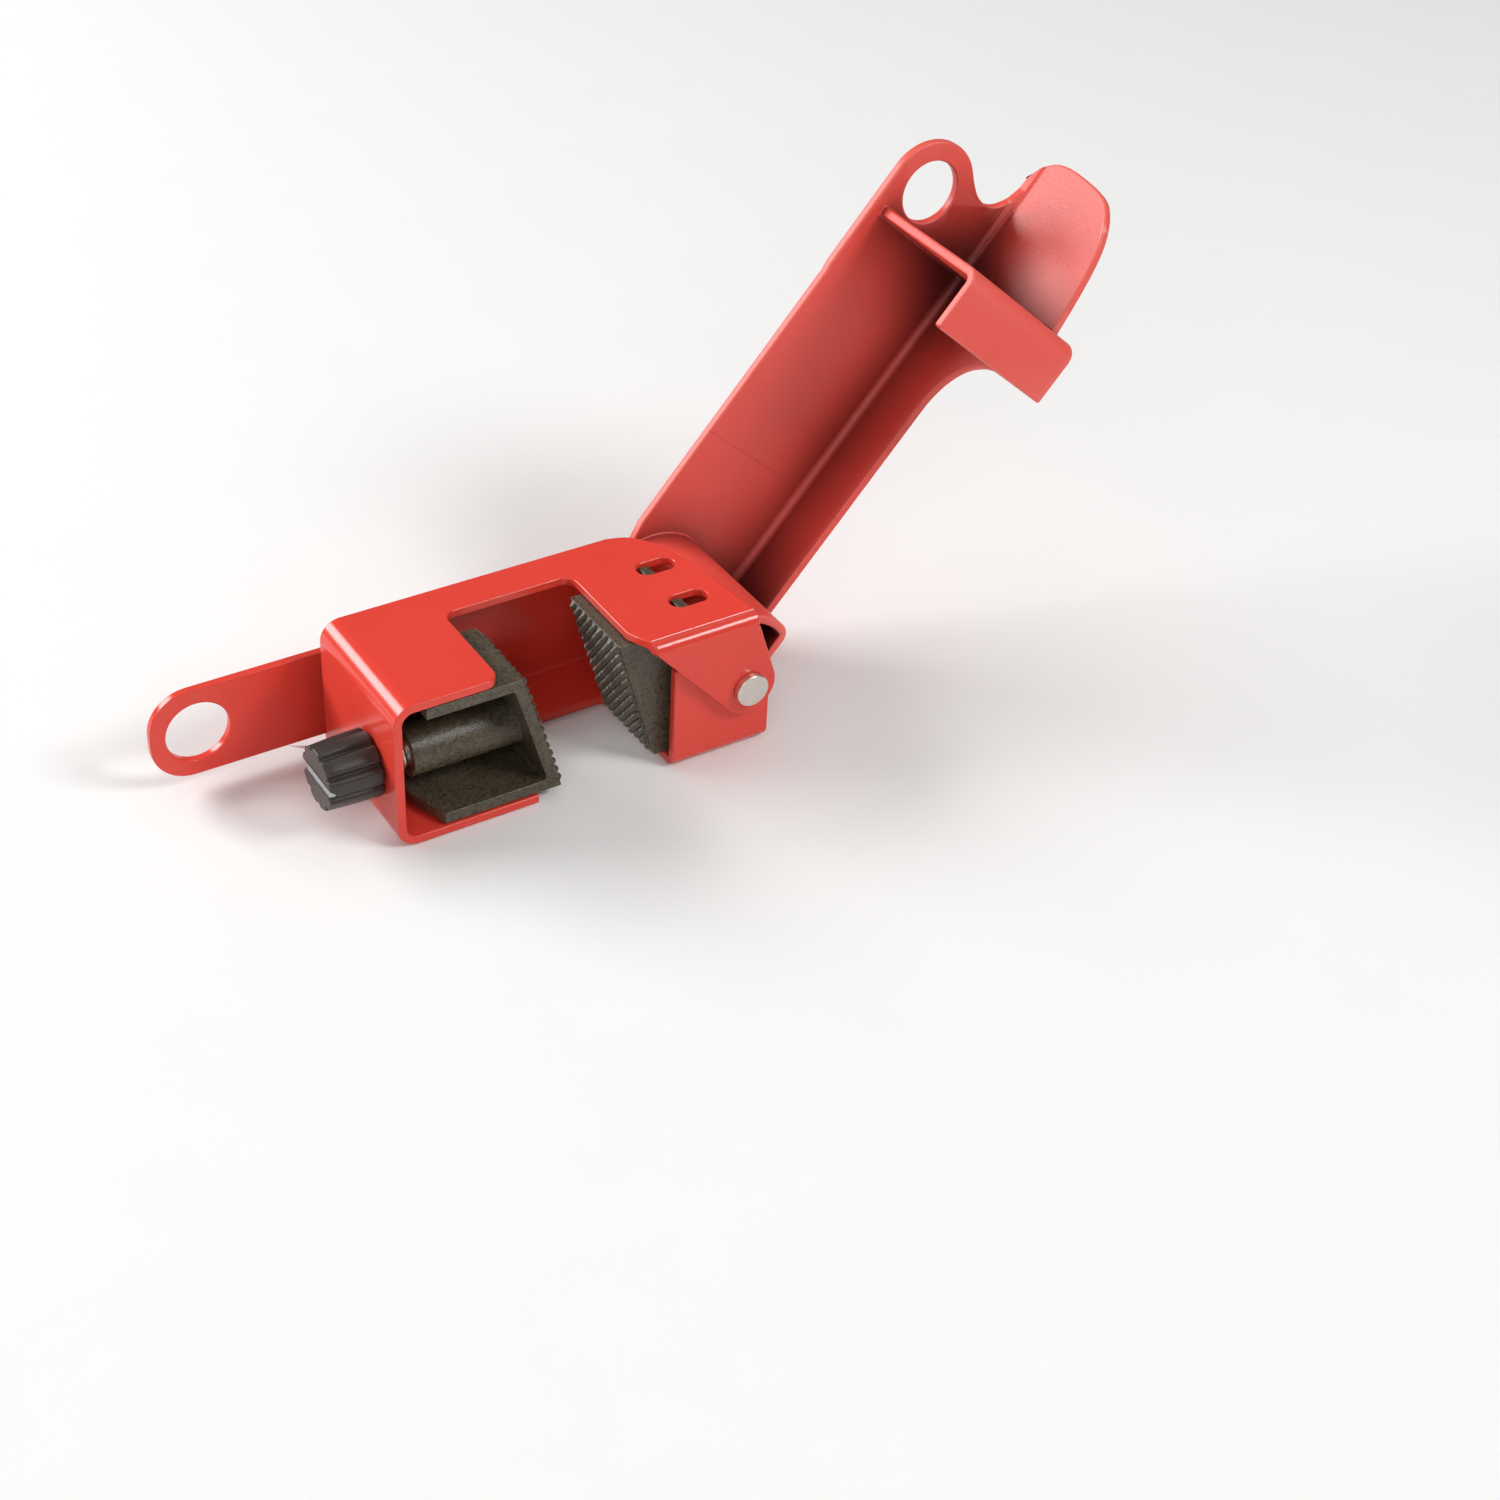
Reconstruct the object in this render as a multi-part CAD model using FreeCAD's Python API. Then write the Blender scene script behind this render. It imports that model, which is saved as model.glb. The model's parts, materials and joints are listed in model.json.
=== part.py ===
import FreeCAD, Part
import os
from math import sin, cos, tan, radians, degrees, hypot, atan2, acos, pi

V = FreeCAD.Vector

# Frame: origin at the middle of the padlock hole on the back face of the steel
# strip, +X towards the hinge, +Y out of the back, +Z up.  Millimetres.

# steel body
sheet = 1.8            # sheet thickness
hole_r = 6.35          # padlock hole, 12.7 mm
lug_half = 9.6         # half width of the padlock lug
lug_end = -9.4         # free end of the lug
lug_corner = 8.2       # lug corner radius
step_x = 25.6          # where the strip grows to its full height
knob_x = 23.6          # outer face of the end wall
hinge_x = 101.5        # hinge end of the body
base_z = -12.4         # underside
top_z = 19.3           # top of the top flange
gap_y = -5.7           # back edge of end wall and top flange
front_y = -37.2        # front edge of the screw end
ear_y = -42.3          # outer face of the folded ear
end_bend = 4.2         # outer bend radius at the end wall
fold_bend = 2.3        # outer bend radius of strip, ear and front panel
notch_top = (45.2, 72.2, -13.8)      # x from, x to, inner edge
notch_low = (52.8, 80.1, -15.4)
notch_r = 2.6
slot_x, slot_y, slot_len, slot_w = hinge_x - 13.3, (-18.6, -31.0), 8.0, 4.2

# hinge
pin_x, pin_z = hinge_x - 6.0, 3.1
rivet_r = 2.5
rivet_head_r, rivet_head_h = 3.4, 1.7
rivet_tail_r, rivet_tail_h = 2.85, 0.7
rivet_bore_r, rivet_bore_h = 1.5, 5.0
ear_r = 6.0            # ear and panel end round the pin
ear_right = hinge_x - 4.0   # where the ear's hinge side leaves the fold
chamfer_y = -35.6      # the fold's free corner is cut off from here ...
chamfer_x = 3.16       # ... to this far along the fold
panel_y = ear_y + sheet + 0.15   # outer face of the front panel
panel_top = pin_z + 7.4
panel_slope = 1.5      # start of the panel's slanted edge
fit_gap = 0.05         # radial clearance of pin and screw
open_angle = 131.5     # cover angle in the stored pose

# cover
wall = 1.8             # roof, hook and drum thickness
back_y = (-sheet - 1.4, -sheet - 3.3)   # outer and inner face of the back wall
roof_z = top_z + 2.8   # top of the roof
cover_x = hinge_x + 0.2     # hinge end of the cover
corner_r = 9.0         # roof to end wall
shell_r = 4.2          # outer rounding between back wall and roof
inner_r = 1.6
cover_low = base_z + 2.6    # lower edge of the back wall
lug_r = lug_half + 0.7      # cover lug
hub_r = 13.2           # hinge drum
hub_front = ear_y + 4.3
hub_end_r = 3.0        # rounding where the drum's flat top meets its arc
hub_flat = 7.9         # height of the drum's flat top
boss_r = 4.6
roof_cut = -17.5       # front edge of the roof's middle
hook_x = (knob_x - 16.2, knob_x - 3.6)  # outer face of the end wall, free edge of the shroud
hook_r = 3.2
hook_y = (front_y - 1.4, front_y - 3.8)  # front of the shroud at its lower edge and at the roof

# jaws and screw
screw_y, screw_z = -26.8, 1.3
jaw_y = (-17.8, -36.9)
lean = 0.29            # slant of both jaw faces, x per z
slide_top_x = 50.6     # slider face at its top
fixed_top_x = 69.0     # fixed jaw face at its top
jaw_wall = 2.4
slide_back_x = 30.3
slide_clear = 0.35
tooth_z, tooth_y, tooth_h = 2.4, 3.05, 0.9
slide_boss_r, slide_boss_x = 5.0, 29.9
screw_r, screw_root = 3.175, 2.6
screw_pitch = 1.27
screw_end = 51.4
knob_r, knob_len = 6.7, 10.6
knob_end = knob_x - 0.4     # inner end of the knob
knob_deep = 7.0        # how far the screw reaches into it
knob_flutes = 9
ring_r, ring_t = 4.9, 0.8
ring_x = knob_x + sheet + 0.35
thread_x = ring_x + ring_t + 1.1     # where the thread starts

low_z = base_z + sheet
under_z = top_z - sheet


def box(x0, x1, y0, y1, z0, z1):
    return Part.makeBox(x1 - x0, y1 - y0, z1 - z0, V(x0, y0, z0))


def plate(points, along, a, b):
    """Closed outline in one plane, extruded between a and b along an axis;
    a third number on a point rounds that corner."""
    lift = {"x": lambda u, v: V(a, u, v),
            "y": lambda u, v: V(u, a, v),
            "z": lambda u, v: V(u, v, a)}[along]
    step = {"x": V(b - a, 0, 0), "y": V(0, b - a, 0), "z": V(0, 0, b - a)}[along]
    edges, ends = [], []
    n = len(points)
    for i in range(n):
        p = points[i]
        q, s = points[i - 1], points[(i + 1) % n]
        r = p[2] if len(p) > 2 else 0
        if r:
            d1 = V(q[0] - p[0], q[1] - p[1], 0).normalize()
            d2 = V(s[0] - p[0], s[1] - p[1], 0).normalize()
            half = acos(max(-1, min(1, d1.dot(d2)))) / 2
            cut = r / tan(half)
            m = (d1 + d2).normalize() * (r / sin(half) - r)
            t1 = (p[0] + d1.x * cut, p[1] + d1.y * cut)
            t2 = (p[0] + d2.x * cut, p[1] + d2.y * cut)
            ends.append((t1, (p[0] + m.x, p[1] + m.y), t2))
        else:
            ends.append((p[:2], None, p[:2]))
    for i in range(n):
        t1, mid, t2 = ends[i]
        if mid:
            edges.append(Part.Arc(lift(*t1), lift(*mid), lift(*t2)).toShape())
        nxt = ends[(i + 1) % n][0]
        if hypot(nxt[0] - t2[0], nxt[1] - t2[1]) > 1e-6:
            edges.append(Part.makeLine(lift(*t2), lift(*nxt)))
    return Part.Face(Part.Wire(edges)).extrude(step)


def rod(r, along, a, b, u, v):
    """Cylinder along an axis, from a to b, at the other two coordinates."""
    base = {"x": V(a, u, v), "y": V(u, a, v), "z": V(u, v, a)}[along]
    way = {"x": V(1, 0, 0), "y": V(0, 1, 0), "z": V(0, 0, 1)}[along]
    return Part.makeCylinder(r, abs(b - a), base, way if b > a else way * -1)


def tangents(px, pz, cx, cz, r):
    """Both points where lines from (px, pz) touch the circle."""
    d = hypot(px - cx, pz - cz)
    base, spread = atan2(pz - cz, px - cx), acos(r / d)
    return [(cx + r * cos(base + s), cz + r * sin(base + s)) for s in (-spread, spread)]


def merged(shapes):
    whole = shapes[0].multiFuse(shapes[1:])
    return whole.removeSplitter()


def single(shape):
    """The largest solid of a result, as a plain solid."""
    return sorted(shape.Solids, key=lambda s: s.Volume)[-1]


def steel_body():
    inner = end_bend - sheet
    # end wall with both flanges, bent about the depth axis
    loop = plate([(hinge_x, base_z), (knob_x, base_z, end_bend), (knob_x, top_z, end_bend),
                  (hinge_x, top_z), (hinge_x, under_z), (knob_x + sheet, under_z, inner),
                  (knob_x + sheet, low_z, inner), (hinge_x, low_z)], "y", gap_y, ear_y)
    a, b, y_in = notch_top
    fold_r = fold_bend - sheet
    loop = loop.cut(box(lug_end, (a + b) / 2, ear_y - 1, front_y, base_z - 1, top_z + 1))
    loop = loop.cut(plate([(a, front_y - 8), (a, y_in, notch_r), (b, y_in, notch_r),
                           (b, front_y - 8)], "z", 0, top_z + 1))
    loop = loop.cut(box(a - 12, a + 1, ear_y - 1, front_y, 0, top_z + 1))
    a2, b2, y_in2 = notch_low
    loop = loop.cut(plate([(a2, front_y - 8), (a2, y_in2, notch_r), (b2, y_in2, notch_r),
                           (b2, front_y - 8)], "z", base_z - 1, 0))
    loop = loop.cut(box(a2 - 30, a2 + 1, ear_y - 1, front_y, base_z - 1, 0))
    # everything beyond the folds is replaced by the bent sheets below
    loop = loop.cut(box(b - 1, hinge_x + 1, ear_y - 1, ear_y + fold_bend, 0, top_z + 1))
    loop = loop.cut(box(b2 - 1, hinge_x + 1, ear_y - 1, panel_y + fold_bend, base_z - 1, 0))
    # rounded free corner of the screw end's top flange
    loop = loop.cut(box(a - 3, a + 1, front_y - 1, front_y + 3, 0, top_z + 1).cut(
        rod(3, "z", 0, top_z + 1, a - 3, front_y + 3)))
    # top sheet folding down into the ear
    ear = plate([(ear_y + fold_bend, top_z), (ear_y, top_z, fold_bend), (ear_y, pin_z - 8),
                 (ear_y + sheet, pin_z - 8), (ear_y + sheet, under_z, fold_r),
                 (ear_y + fold_bend, under_z)], "x", b, hinge_x)
    bend_low = top_z - fold_bend
    lo = min(tangents(b + chamfer_x, bend_low, pin_x, pin_z, ear_r), key=lambda t: t[1])
    hi = max(tangents(ear_right, bend_low, pin_x, pin_z, ear_r), key=lambda t: t[0])
    mask = plate([(b - 1, top_z + 1), (b - 1, bend_low), (b + chamfer_x, bend_low), lo,
                  (pin_x, pin_z), hi, (ear_right, bend_low), (hinge_x + 1, bend_low),
                  (hinge_x + 1, top_z + 1)], "y", ear_y - 1, ear_y + fold_bend + 1)
    mask = mask.fuse(rod(ear_r, "y", ear_y + fold_bend + 1, ear_y - 1, pin_x, pin_z))
    ear = ear.common(mask)
    # plan outline: long curve at the hinge end, chamfer at the notch
    run = [(-17.0, gap_y), (-13.3, -7.0), (-10.5, -9.8), (-8.6, -13.4), (-7.3, -18.0), (-6.2, -24.0),
           (-5.1, -32.0), (-4.0, ear_y), (-3.9, ear_y - 1)]
    rim = [(3, ear_y - 1), (3, gap_y + 2), (-17.0, gap_y + 2)]
    corner = outline([[(hinge_x + x, y) for x, y in run], [(hinge_x + x, y) for x, y in rim]],
                     "z", bend_low, fold_bend + 1)
    chamfer = plate([(b - 1, chamfer_y), (b, chamfer_y), (b + chamfer_x, ear_y),
                     (b + chamfer_x, ear_y - 1), (b - 1, ear_y - 1)], "z", bend_low, top_z + 1)
    # lower sheet folding up into the front panel
    panel = plate([(panel_y + fold_bend, base_z), (panel_y, base_z, fold_bend),
                   (panel_y, panel_top + 1), (panel_y + sheet, panel_top + 1),
                   (panel_y + sheet, low_z, fold_r), (panel_y + fold_bend, low_z)],
                  "x", b2, hinge_x)
    top = max(tangents(b2 + panel_slope, panel_top, pin_x, pin_z, ear_r), key=lambda t: t[1])
    face = plate([(b2 - 1, base_z - 1), (hinge_x + 1, base_z - 1), (hinge_x + 1, pin_z),
                  (pin_x, pin_z), top, (b2 + panel_slope, panel_top), (b2 - 1, panel_top)],
                 "y", panel_y - 1, panel_y + fold_bend + 1)
    face = face.fuse(rod(ear_r, "y", panel_y + fold_bend + 1, panel_y - 1, pin_x, pin_z))
    panel = panel.common(face)
    # back strip, its bend into the lower flange, and the lug
    bend = plate([(0, lug_half), (0, base_z, fold_bend), (gap_y, base_z), (gap_y, low_z),
                  (-sheet, low_z, fold_r), (-sheet, lug_half)], "x", step_x, hinge_x)
    bend = bend.cut(box(hinge_x - 8, hinge_x + 1, -sheet - 0.01, 1, lug_half - 8, lug_half + 1).cut(
        rod(8, "y", 1, -sheet - 0.01, hinge_x - 8, lug_half - 8)))
    lug = plate([(lug_end, -lug_half, lug_corner), (step_x + 1, -lug_half),
                 (step_x + 1, lug_half), (lug_end, lug_half, lug_corner)], "y", 0, -sheet)
    whole = merged([loop, ear, panel, bend, lug])
    whole = whole.cut(corner).cut(chamfer)
    holes = [rod(hole_r, "y", 1, -sheet - 1, 0, 0),
             rod(rivet_r + fit_gap, "y", 1, -sheet - 1, pin_x, pin_z),
             rod(rivet_r + fit_gap, "y", panel_y + sheet + 1, ear_y - 1, pin_x, pin_z),
             rod(screw_r + fit_gap, "x", knob_x - 1, knob_x + sheet + 1, screw_y, screw_z)]
    for y in slot_y:
        r = slot_w / 2
        x0, x1 = slot_x - slot_len / 2, slot_x + slot_len / 2
        holes.append(plate([(x0, y - r, r - 1e-3), (x1, y - r, r - 1e-3), (x1, y + r, r - 1e-3),
                            (x0, y + r, r - 1e-3)], "z", under_z - 1, top_z + 1))
    for h in holes:
        whole = whole.cut(h)
    return single(whole)


def swept_shell():
    """Roof and back margin as one bent section: straight along the roof, round
    the hinge corner and down the end wall."""
    y_out, y_in = back_y
    reach = 7.0
    cx, cz = cover_x - corner_r, roof_z - corner_r
    strip = plate([(y_out, roof_z - reach), (y_out, roof_z, shell_r), (hook_y[1], roof_z),
                   (hook_y[1], roof_z - wall), (y_in, roof_z - wall, inner_r), (y_in, roof_z - reach)],
                  "x", cx, cx + 1)
    face = [f for f in strip.Faces if abs(f.CenterOfMass.x - cx) < 1e-6][0]
    roof = face.extrude(V(-21.0 - cx, 0, 0))
    turn = face.revolve(V(cx, 0, cz), V(0, 1, 0), 90)
    down = [f for f in turn.Faces if abs(f.CenterOfMass.z - cz) < 1e-6 and f.CenterOfMass.x > cx][0]
    side = down.extrude(V(0, 0, pin_z - hub_r - cz))
    return roof, turn, side


def curve(points, along, level):
    """Smooth curve through points of one plane."""
    lift = {"y": lambda u, v: V(u, level, v), "z": lambda u, v: V(u, v, level)}[along]
    c = Part.BSplineCurve()
    c.interpolate([lift(*p) for p in points])
    return c.toShape()


def outline(runs, along, level, depth):
    """Face from turns of one smooth run and one straight run, extruded."""
    lift = {"y": lambda u, v: V(u, level, v), "z": lambda u, v: V(u, v, level)}[along]
    edges = []
    runs = [run for run in runs if run]
    for i, run in enumerate(runs):
        after = runs[(i + 1) % len(runs)]
        if i % 2 == 0:
            edges.append(curve(run, along, level))
        else:
            edges += [Part.makeLine(lift(*p), lift(*q)) for p, q in zip(run, run[1:])]
        last, first = run[-1], after[0]
        if hypot(last[0] - first[0], last[1] - first[1]) > 1e-6:
            edges.append(Part.makeLine(lift(*last), lift(*first)))
    return Part.Face(Part.Wire(edges)).extrude({"y": V(0, depth, 0), "z": V(0, 0, depth)}[along])


def shroud():
    """End wall and front panel beyond the screw, one bent sheet that widens
    towards the roof."""
    y_in, r_out = back_y[1] + 0.4, hook_r
    x0, x1 = hook_x
    x_in, k, s = x0 + wall, r_out - wall, sin(pi / 4)

    def ring(z, y_front):
        y_pan = y_front + wall
        p = [V(x0, y_in, z), V(x0, y_front + r_out, z), V(x0 + r_out, y_front, z), V(x1, y_front, z),
             V(x1, y_pan, z), V(x_in + k, y_pan, z), V(x_in, y_pan + k, z), V(x_in, y_in, z)]
        o_mid = V(x0 + r_out * (1 - s), y_front + r_out * (1 - s), z)
        i_mid = V(x_in + k * (1 - s), y_pan + k * (1 - s), z)
        edges = [Part.makeLine(p[0], p[1]), Part.Arc(p[1], o_mid, p[2]).toShape(),
                 Part.makeLine(p[2], p[3]), Part.makeLine(p[3], p[4]), Part.makeLine(p[4], p[5]),
                 Part.Arc(p[5], i_mid, p[6]).toShape(), Part.makeLine(p[6], p[7]),
                 Part.makeLine(p[7], p[0])]
        return Part.Wire(edges)

    sheet_wall = Part.makeLoft([ring(base_z + 0.4, hook_y[0]), ring(roof_z - wall, hook_y[1])], True, True)
    # the panel's free corner is rounded, and the lower edge slants
    low, r = base_z + 0.4, 3.0
    corner = box(x1 - r, x1 + 1, hook_y[1] - 1, hook_y[0] + wall + 1, low - 1, low + r)
    sheet_wall = sheet_wall.cut(corner.cut(rod(r, "y", hook_y[1] - 2, hook_y[0] + wall + 2, x1 - r, low + r)))
    return sheet_wall.cut(plate([(0, -7.2), (-45, -10.7), (-45, -20), (0, -20)], "x", x0 - 1, x1 + 1))


def hinge_drum():
    """Wall round the pin: an arc on the inner side, a flat top, the end wall."""
    y0 = back_y[1] + 0.4

    def filled(off):
        r, xe, zt = hub_r - off, cover_x - off, hub_flat - off
        low = pin_z - (r ** 2 - (xe - pin_x) ** 2) ** 0.5
        core = rod(r, "y", y0, hub_front, pin_x, pin_z)
        block = plate([(pin_x - hub_r - 1, low - 9), (xe, low - 9), (xe, zt),
                       (pin_x - (r ** 2 - (zt - pin_z) ** 2) ** 0.5 - 0.4, zt, max(0.6, hub_end_r - off)),
                       (pin_x - hub_r - 1, low)], "y", y0, hub_front)
        return core.common(block)

    # beyond the arc the end wall carries on up to the roof
    strip = box(cover_x - wall, cover_x, hub_front, y0, pin_z - 4, roof_z - corner_r)
    corner = rod(hub_r, "y", y0, hub_front, pin_x, pin_z)
    heel = box(pin_x, cover_x, hub_front, y0, pin_z - hub_r, pin_z).common(corner)
    heel = heel.cut(rod(hub_r - wall, "y", y0, hub_front, pin_x, pin_z).common(
        box(pin_x - 1, cover_x - wall, hub_front, y0, -20, pin_z)))
    top = box(pin_x, cover_x, hub_front, y0, hub_flat - wall, hub_flat)
    return filled(0).cut(filled(wall)), strip, heel, top


def cover_closed():
    y_out, y_in = back_y
    z0 = hub_flat + 1
    far = hook_y[1] - 2
    roof, turn, side = swept_shell()
    # front edge of the roof, seen from above
    rise = [(-13.7, roof_cut), (-8.9, -18.4), (-7.1, -19.8), (-5.6, -22.4), (-4.3, -26.0), (-3.1, -30.5),
            (-2.0, -34.6), (-1.0, -36.9), (0.2, hub_front)]
    rise = [(cover_x + x, y) for x, y in rise]
    neck = [(0.0, -27.0), (0.9, -24.3), (3.2, -21.2), (7.0, -18.9), (12.0, roof_cut - 0.15),
            (17.0, roof_cut)]
    neck = [(hook_x[1] + x, y) for x, y in neck]
    middle = outline([rise, [(cover_x + 3, hub_front), (cover_x + 3, far), (hook_x[1], far)], neck, []],
                     "z", z0, roof_z)
    thumb = [(hook_x[0], -34.2), (1.0, -33.3), (-6.0, -32.0), (-11.0, -30.5), (-14.6, -28.6), (-17.2, -26.4),
             (-18.8, -24.2), (-19.7, -21.0), (-20.2, -17.0), (-20.4, -12.0), (-19.9, -8.6), (-18.8, -6.6),
             (-16.8, -4.9), (-14.4, -3.9), (-12.4, -3.2), (-10.5, -2.4)]
    tip = outline([thumb, [(-10.5, 2.0), (-28.0, 2.0)], [(-28.0, far), (hook_x[0], far)]], "z", z0, roof_z)
    a = radians(146)
    bite = [(lug_r * cos(a), lug_r * sin(a)), (-6.6, 8.6), (-5.2, 11.6), (-5.0, 14.6), (-6.2, 17.2),
            (-8.6, 19.2), (-12.0, roof_z - wall - 0.02), (-15.0, roof_z - wall)]
    notch = outline([bite, [(-30.0, roof_z - wall), (-30.0, bite[0][1])]], "y", 5, -16)
    shell = roof.cut(middle).cut(tip)
    shell = shell.cut(box(hook_x[0], hook_x[1], far, -30, roof_z - wall - 1, roof_z + 1))
    turn = turn.cut(middle)
    side = side.cut(box(cover_x - 20, cover_x + 1, far, hub_front, -30, roof_z))
    # back wall with the lug, seen from the front
    lug_arc = Part.Arc(V(0, y_out, -lug_r), V(-lug_r, y_out, 0),
                       V(bite[0][0], y_out, bite[0][1])).toShape()
    flat_top = roof_z - 6.5
    line = [bite[0], (bite[0][0], flat_top), (cover_x - 6.5, flat_top),
            (cover_x - 6.5, cover_low + 2.4), (cover_x - 17.1, cover_low), (24.0, cover_low),
            (22.6, -lug_r + 0.15), (0, -lug_r)]
    edges = [lug_arc] + [Part.makeLine(V(p[0], y_out, p[1]), V(q[0], y_out, q[1]))
                         for p, q in zip(line, line[1:])]
    back = Part.Face(Part.Wire(edges)).extrude(V(0, y_in - y_out, 0))
    over = plate([(hook_x[0], -28), (hook_x[0], hook_y[1], hook_r), (hook_x[1], hook_y[1]),
                  (hook_x[1], -28)], "z", roof_z - wall, roof_z)
    disc = rod(hub_r, "y", y_out, y_in, pin_x, pin_z).common(
        box(70, cover_x, y_in, y_out, -20, roof_z - 5))
    boss = rod(boss_r, "y", y_out, hub_front, pin_x, pin_z)
    whole = merged([shell, turn, side, back, shroud(), over, disc, boss] + list(hinge_drum()))
    # nothing of the end wall reaches outside the drum's arc below the pin
    whole = whole.cut(box(pin_x - 1, cover_x + 1, far, 1, -20, pin_z).cut(
        rod(hub_r, "y", 2, far - 1, pin_x, pin_z)))
    whole = whole.cut(notch).cut(rod(rivet_r + fit_gap, "y", 1, far, pin_x, pin_z))
    return single(whole.cut(rod(hole_r, "y", 1, y_in - 2, 0, 0)))


def turned(shape, angle):
    s = shape.copy()
    s.rotate(V(pin_x, 0, pin_z), V(0, 1, 0), angle)
    return s


def hinge_rivet():
    r = merged([rod(rivet_r, "y", ear_y, 0, pin_x, pin_z),
                rod(rivet_head_r, "y", ear_y, ear_y - rivet_head_h, pin_x, pin_z),
                rod(rivet_tail_r, "y", 0, rivet_tail_h, pin_x, pin_z)])
    rim = [e for e in r.Edges if abs(e.CenterOfMass.y - (ear_y - rivet_head_h)) < 1e-4]
    r = r.makeFillet(0.35, rim)
    rim = [e for e in r.Edges if abs(e.CenterOfMass.y - rivet_tail_h) < 1e-4]
    r = r.makeFillet(0.3, rim)
    return single(r.cut(rod(rivet_bore_r, "y", rivet_tail_h + 1, rivet_tail_h - rivet_bore_h, pin_x, pin_z)))


def face_x(top_x, z):
    """x of a slanted jaw face at height z."""
    return top_x + (under_z - z) * lean


def teeth(block, top_x, z_lo, z_hi, side):
    """Pyramid teeth: V grooves across and along a slanted face."""
    slant = -atan2(lean, 1)
    half, deep = tooth_z / 2, tooth_h
    n = int((z_hi - z_lo) / tooth_z)
    y_mid = (jaw_y[0] + jaw_y[1]) / 2
    groove = plate([(-0.3 * side, -half * 1.3), (-0.3 * side, half * 1.3), (deep * side, 0)],
                   "y", jaw_y[1] - 2, jaw_y[0] + 2)
    for k in range(n + 1):
        z = z_lo + k * (z_hi - z_lo) / n
        g = groove.copy()
        g.rotate(V(0, 0, 0), V(0, 1, 0), degrees(slant))
        g.translate(V(face_x(top_x, z), 0, z))
        block = block.cut(g)
    m = int((jaw_y[0] - jaw_y[1]) / tooth_y)
    half = tooth_y / 2
    for k in range(m + 1):
        y = jaw_y[1] + k * (jaw_y[0] - jaw_y[1]) / m
        g = plate([(-0.3 * side, y - half * 1.3), (-0.3 * side, y + half * 1.3), (deep * side, y)],
                  "z", z_lo - 6, z_hi + 6)
        g.translate(V(0, 0, -(z_lo + z_hi) / 2))
        g.rotate(V(0, 0, 0), V(0, 1, 0), degrees(slant))
        zc = (z_lo + z_hi) / 2
        g.translate(V(face_x(top_x, zc), 0, zc))
        block = block.cut(g)
    return block


def sliding_jaw():
    z1, z0 = under_z - slide_clear, low_z + slide_clear
    xt, xb = face_x(slide_top_x, z1), face_x(slide_top_x, z0)
    y1, y0 = jaw_y
    frame = plate([(slide_back_x, z0), (xb, z0), (xt, z1), (slide_back_x, z1)], "y", y1, y0)
    frame = teeth(frame, slide_top_x, z0, z1, -1)
    w = jaw_wall
    hollow = plate([(slide_back_x - 1, z0 + w), (xb - w - 1.3 - lean * w, z0 + w),
                    (xt - w - 1.3 + lean * w, z1 - w), (slide_back_x - 1, z1 - w)], "y", y1 - w, y0 - 1)
    frame = frame.cut(hollow)
    boss = rod(slide_boss_r, "x", slide_boss_x, face_x(slide_top_x, screw_z) - 1.4, screw_y, screw_z)
    web = box(slide_boss_x, face_x(slide_top_x, screw_z) - 2.5, screw_y, y1 - w + 0.1,
              screw_z - 1.1, screw_z + 1.1)
    whole = merged([frame, boss, web])
    whole = whole.cut(rod(screw_r + fit_gap, "x", slide_boss_x - 1, screw_end + 0.6, screw_y, screw_z))
    return single(whole)


def fixed_jaw():
    z1, z0 = under_z - 0.05, low_z + 0.05
    y1, y0 = jaw_y
    xt, xb = face_x(fixed_top_x, z1), face_x(fixed_top_x, z0)
    tab_x = slot_x - slot_len / 2 + 1.1
    tail = tab_x + 2.1
    block = plate([(xb, z0), (tail, z0), (tail, z1), (xt, z1)], "y", y1, y0)
    block = block.cut(rod(hub_r + 0.5, "y", 0, y0 - 5, pin_x, pin_z))
    block = block.cut(box(pin_x - 40, pin_x + 5, y0 - 5, y1 + 5, z0 - 1, pin_z - 2).common(
        box(notch_low[1] + 1.4, tail + 1, y0 - 5, y1 + 5, z0 - 1, pin_z - 2)))
    block = teeth(block, fixed_top_x, z0, z1, 1)
    tabs = []
    for y in slot_y:
        tabs.append(box(tab_x, tail, y - slot_w / 2 + 0.35, y + slot_w / 2 - 0.35, z1 - 2, top_z - 0.6))
    return single(merged([block] + tabs))


def thumb_knob():
    x1, x0 = knob_end, knob_end - knob_len
    body = rod(knob_r, "x", x0, x1, screw_y, screw_z)
    for k in range(knob_flutes):
        a = 2 * pi * k / knob_flutes
        r = knob_r + 0.45
        body = body.cut(rod(1.15, "x", x0 - 1, x1 + 1, screw_y + r * cos(a), screw_z + r * sin(a)))
    vee = plate([(x0 - 0.1, screw_z - 1.3), (x0 - 0.1, screw_z + 1.3), (x0 + 1.3, screw_z)],
                "y", screw_y - knob_r - 1, screw_y + knob_r + 1)
    body = body.cut(vee)
    return single(body.cut(rod(screw_root, "x", x1 - knob_deep, x1 + 1, screw_y, screw_z)))


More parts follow.
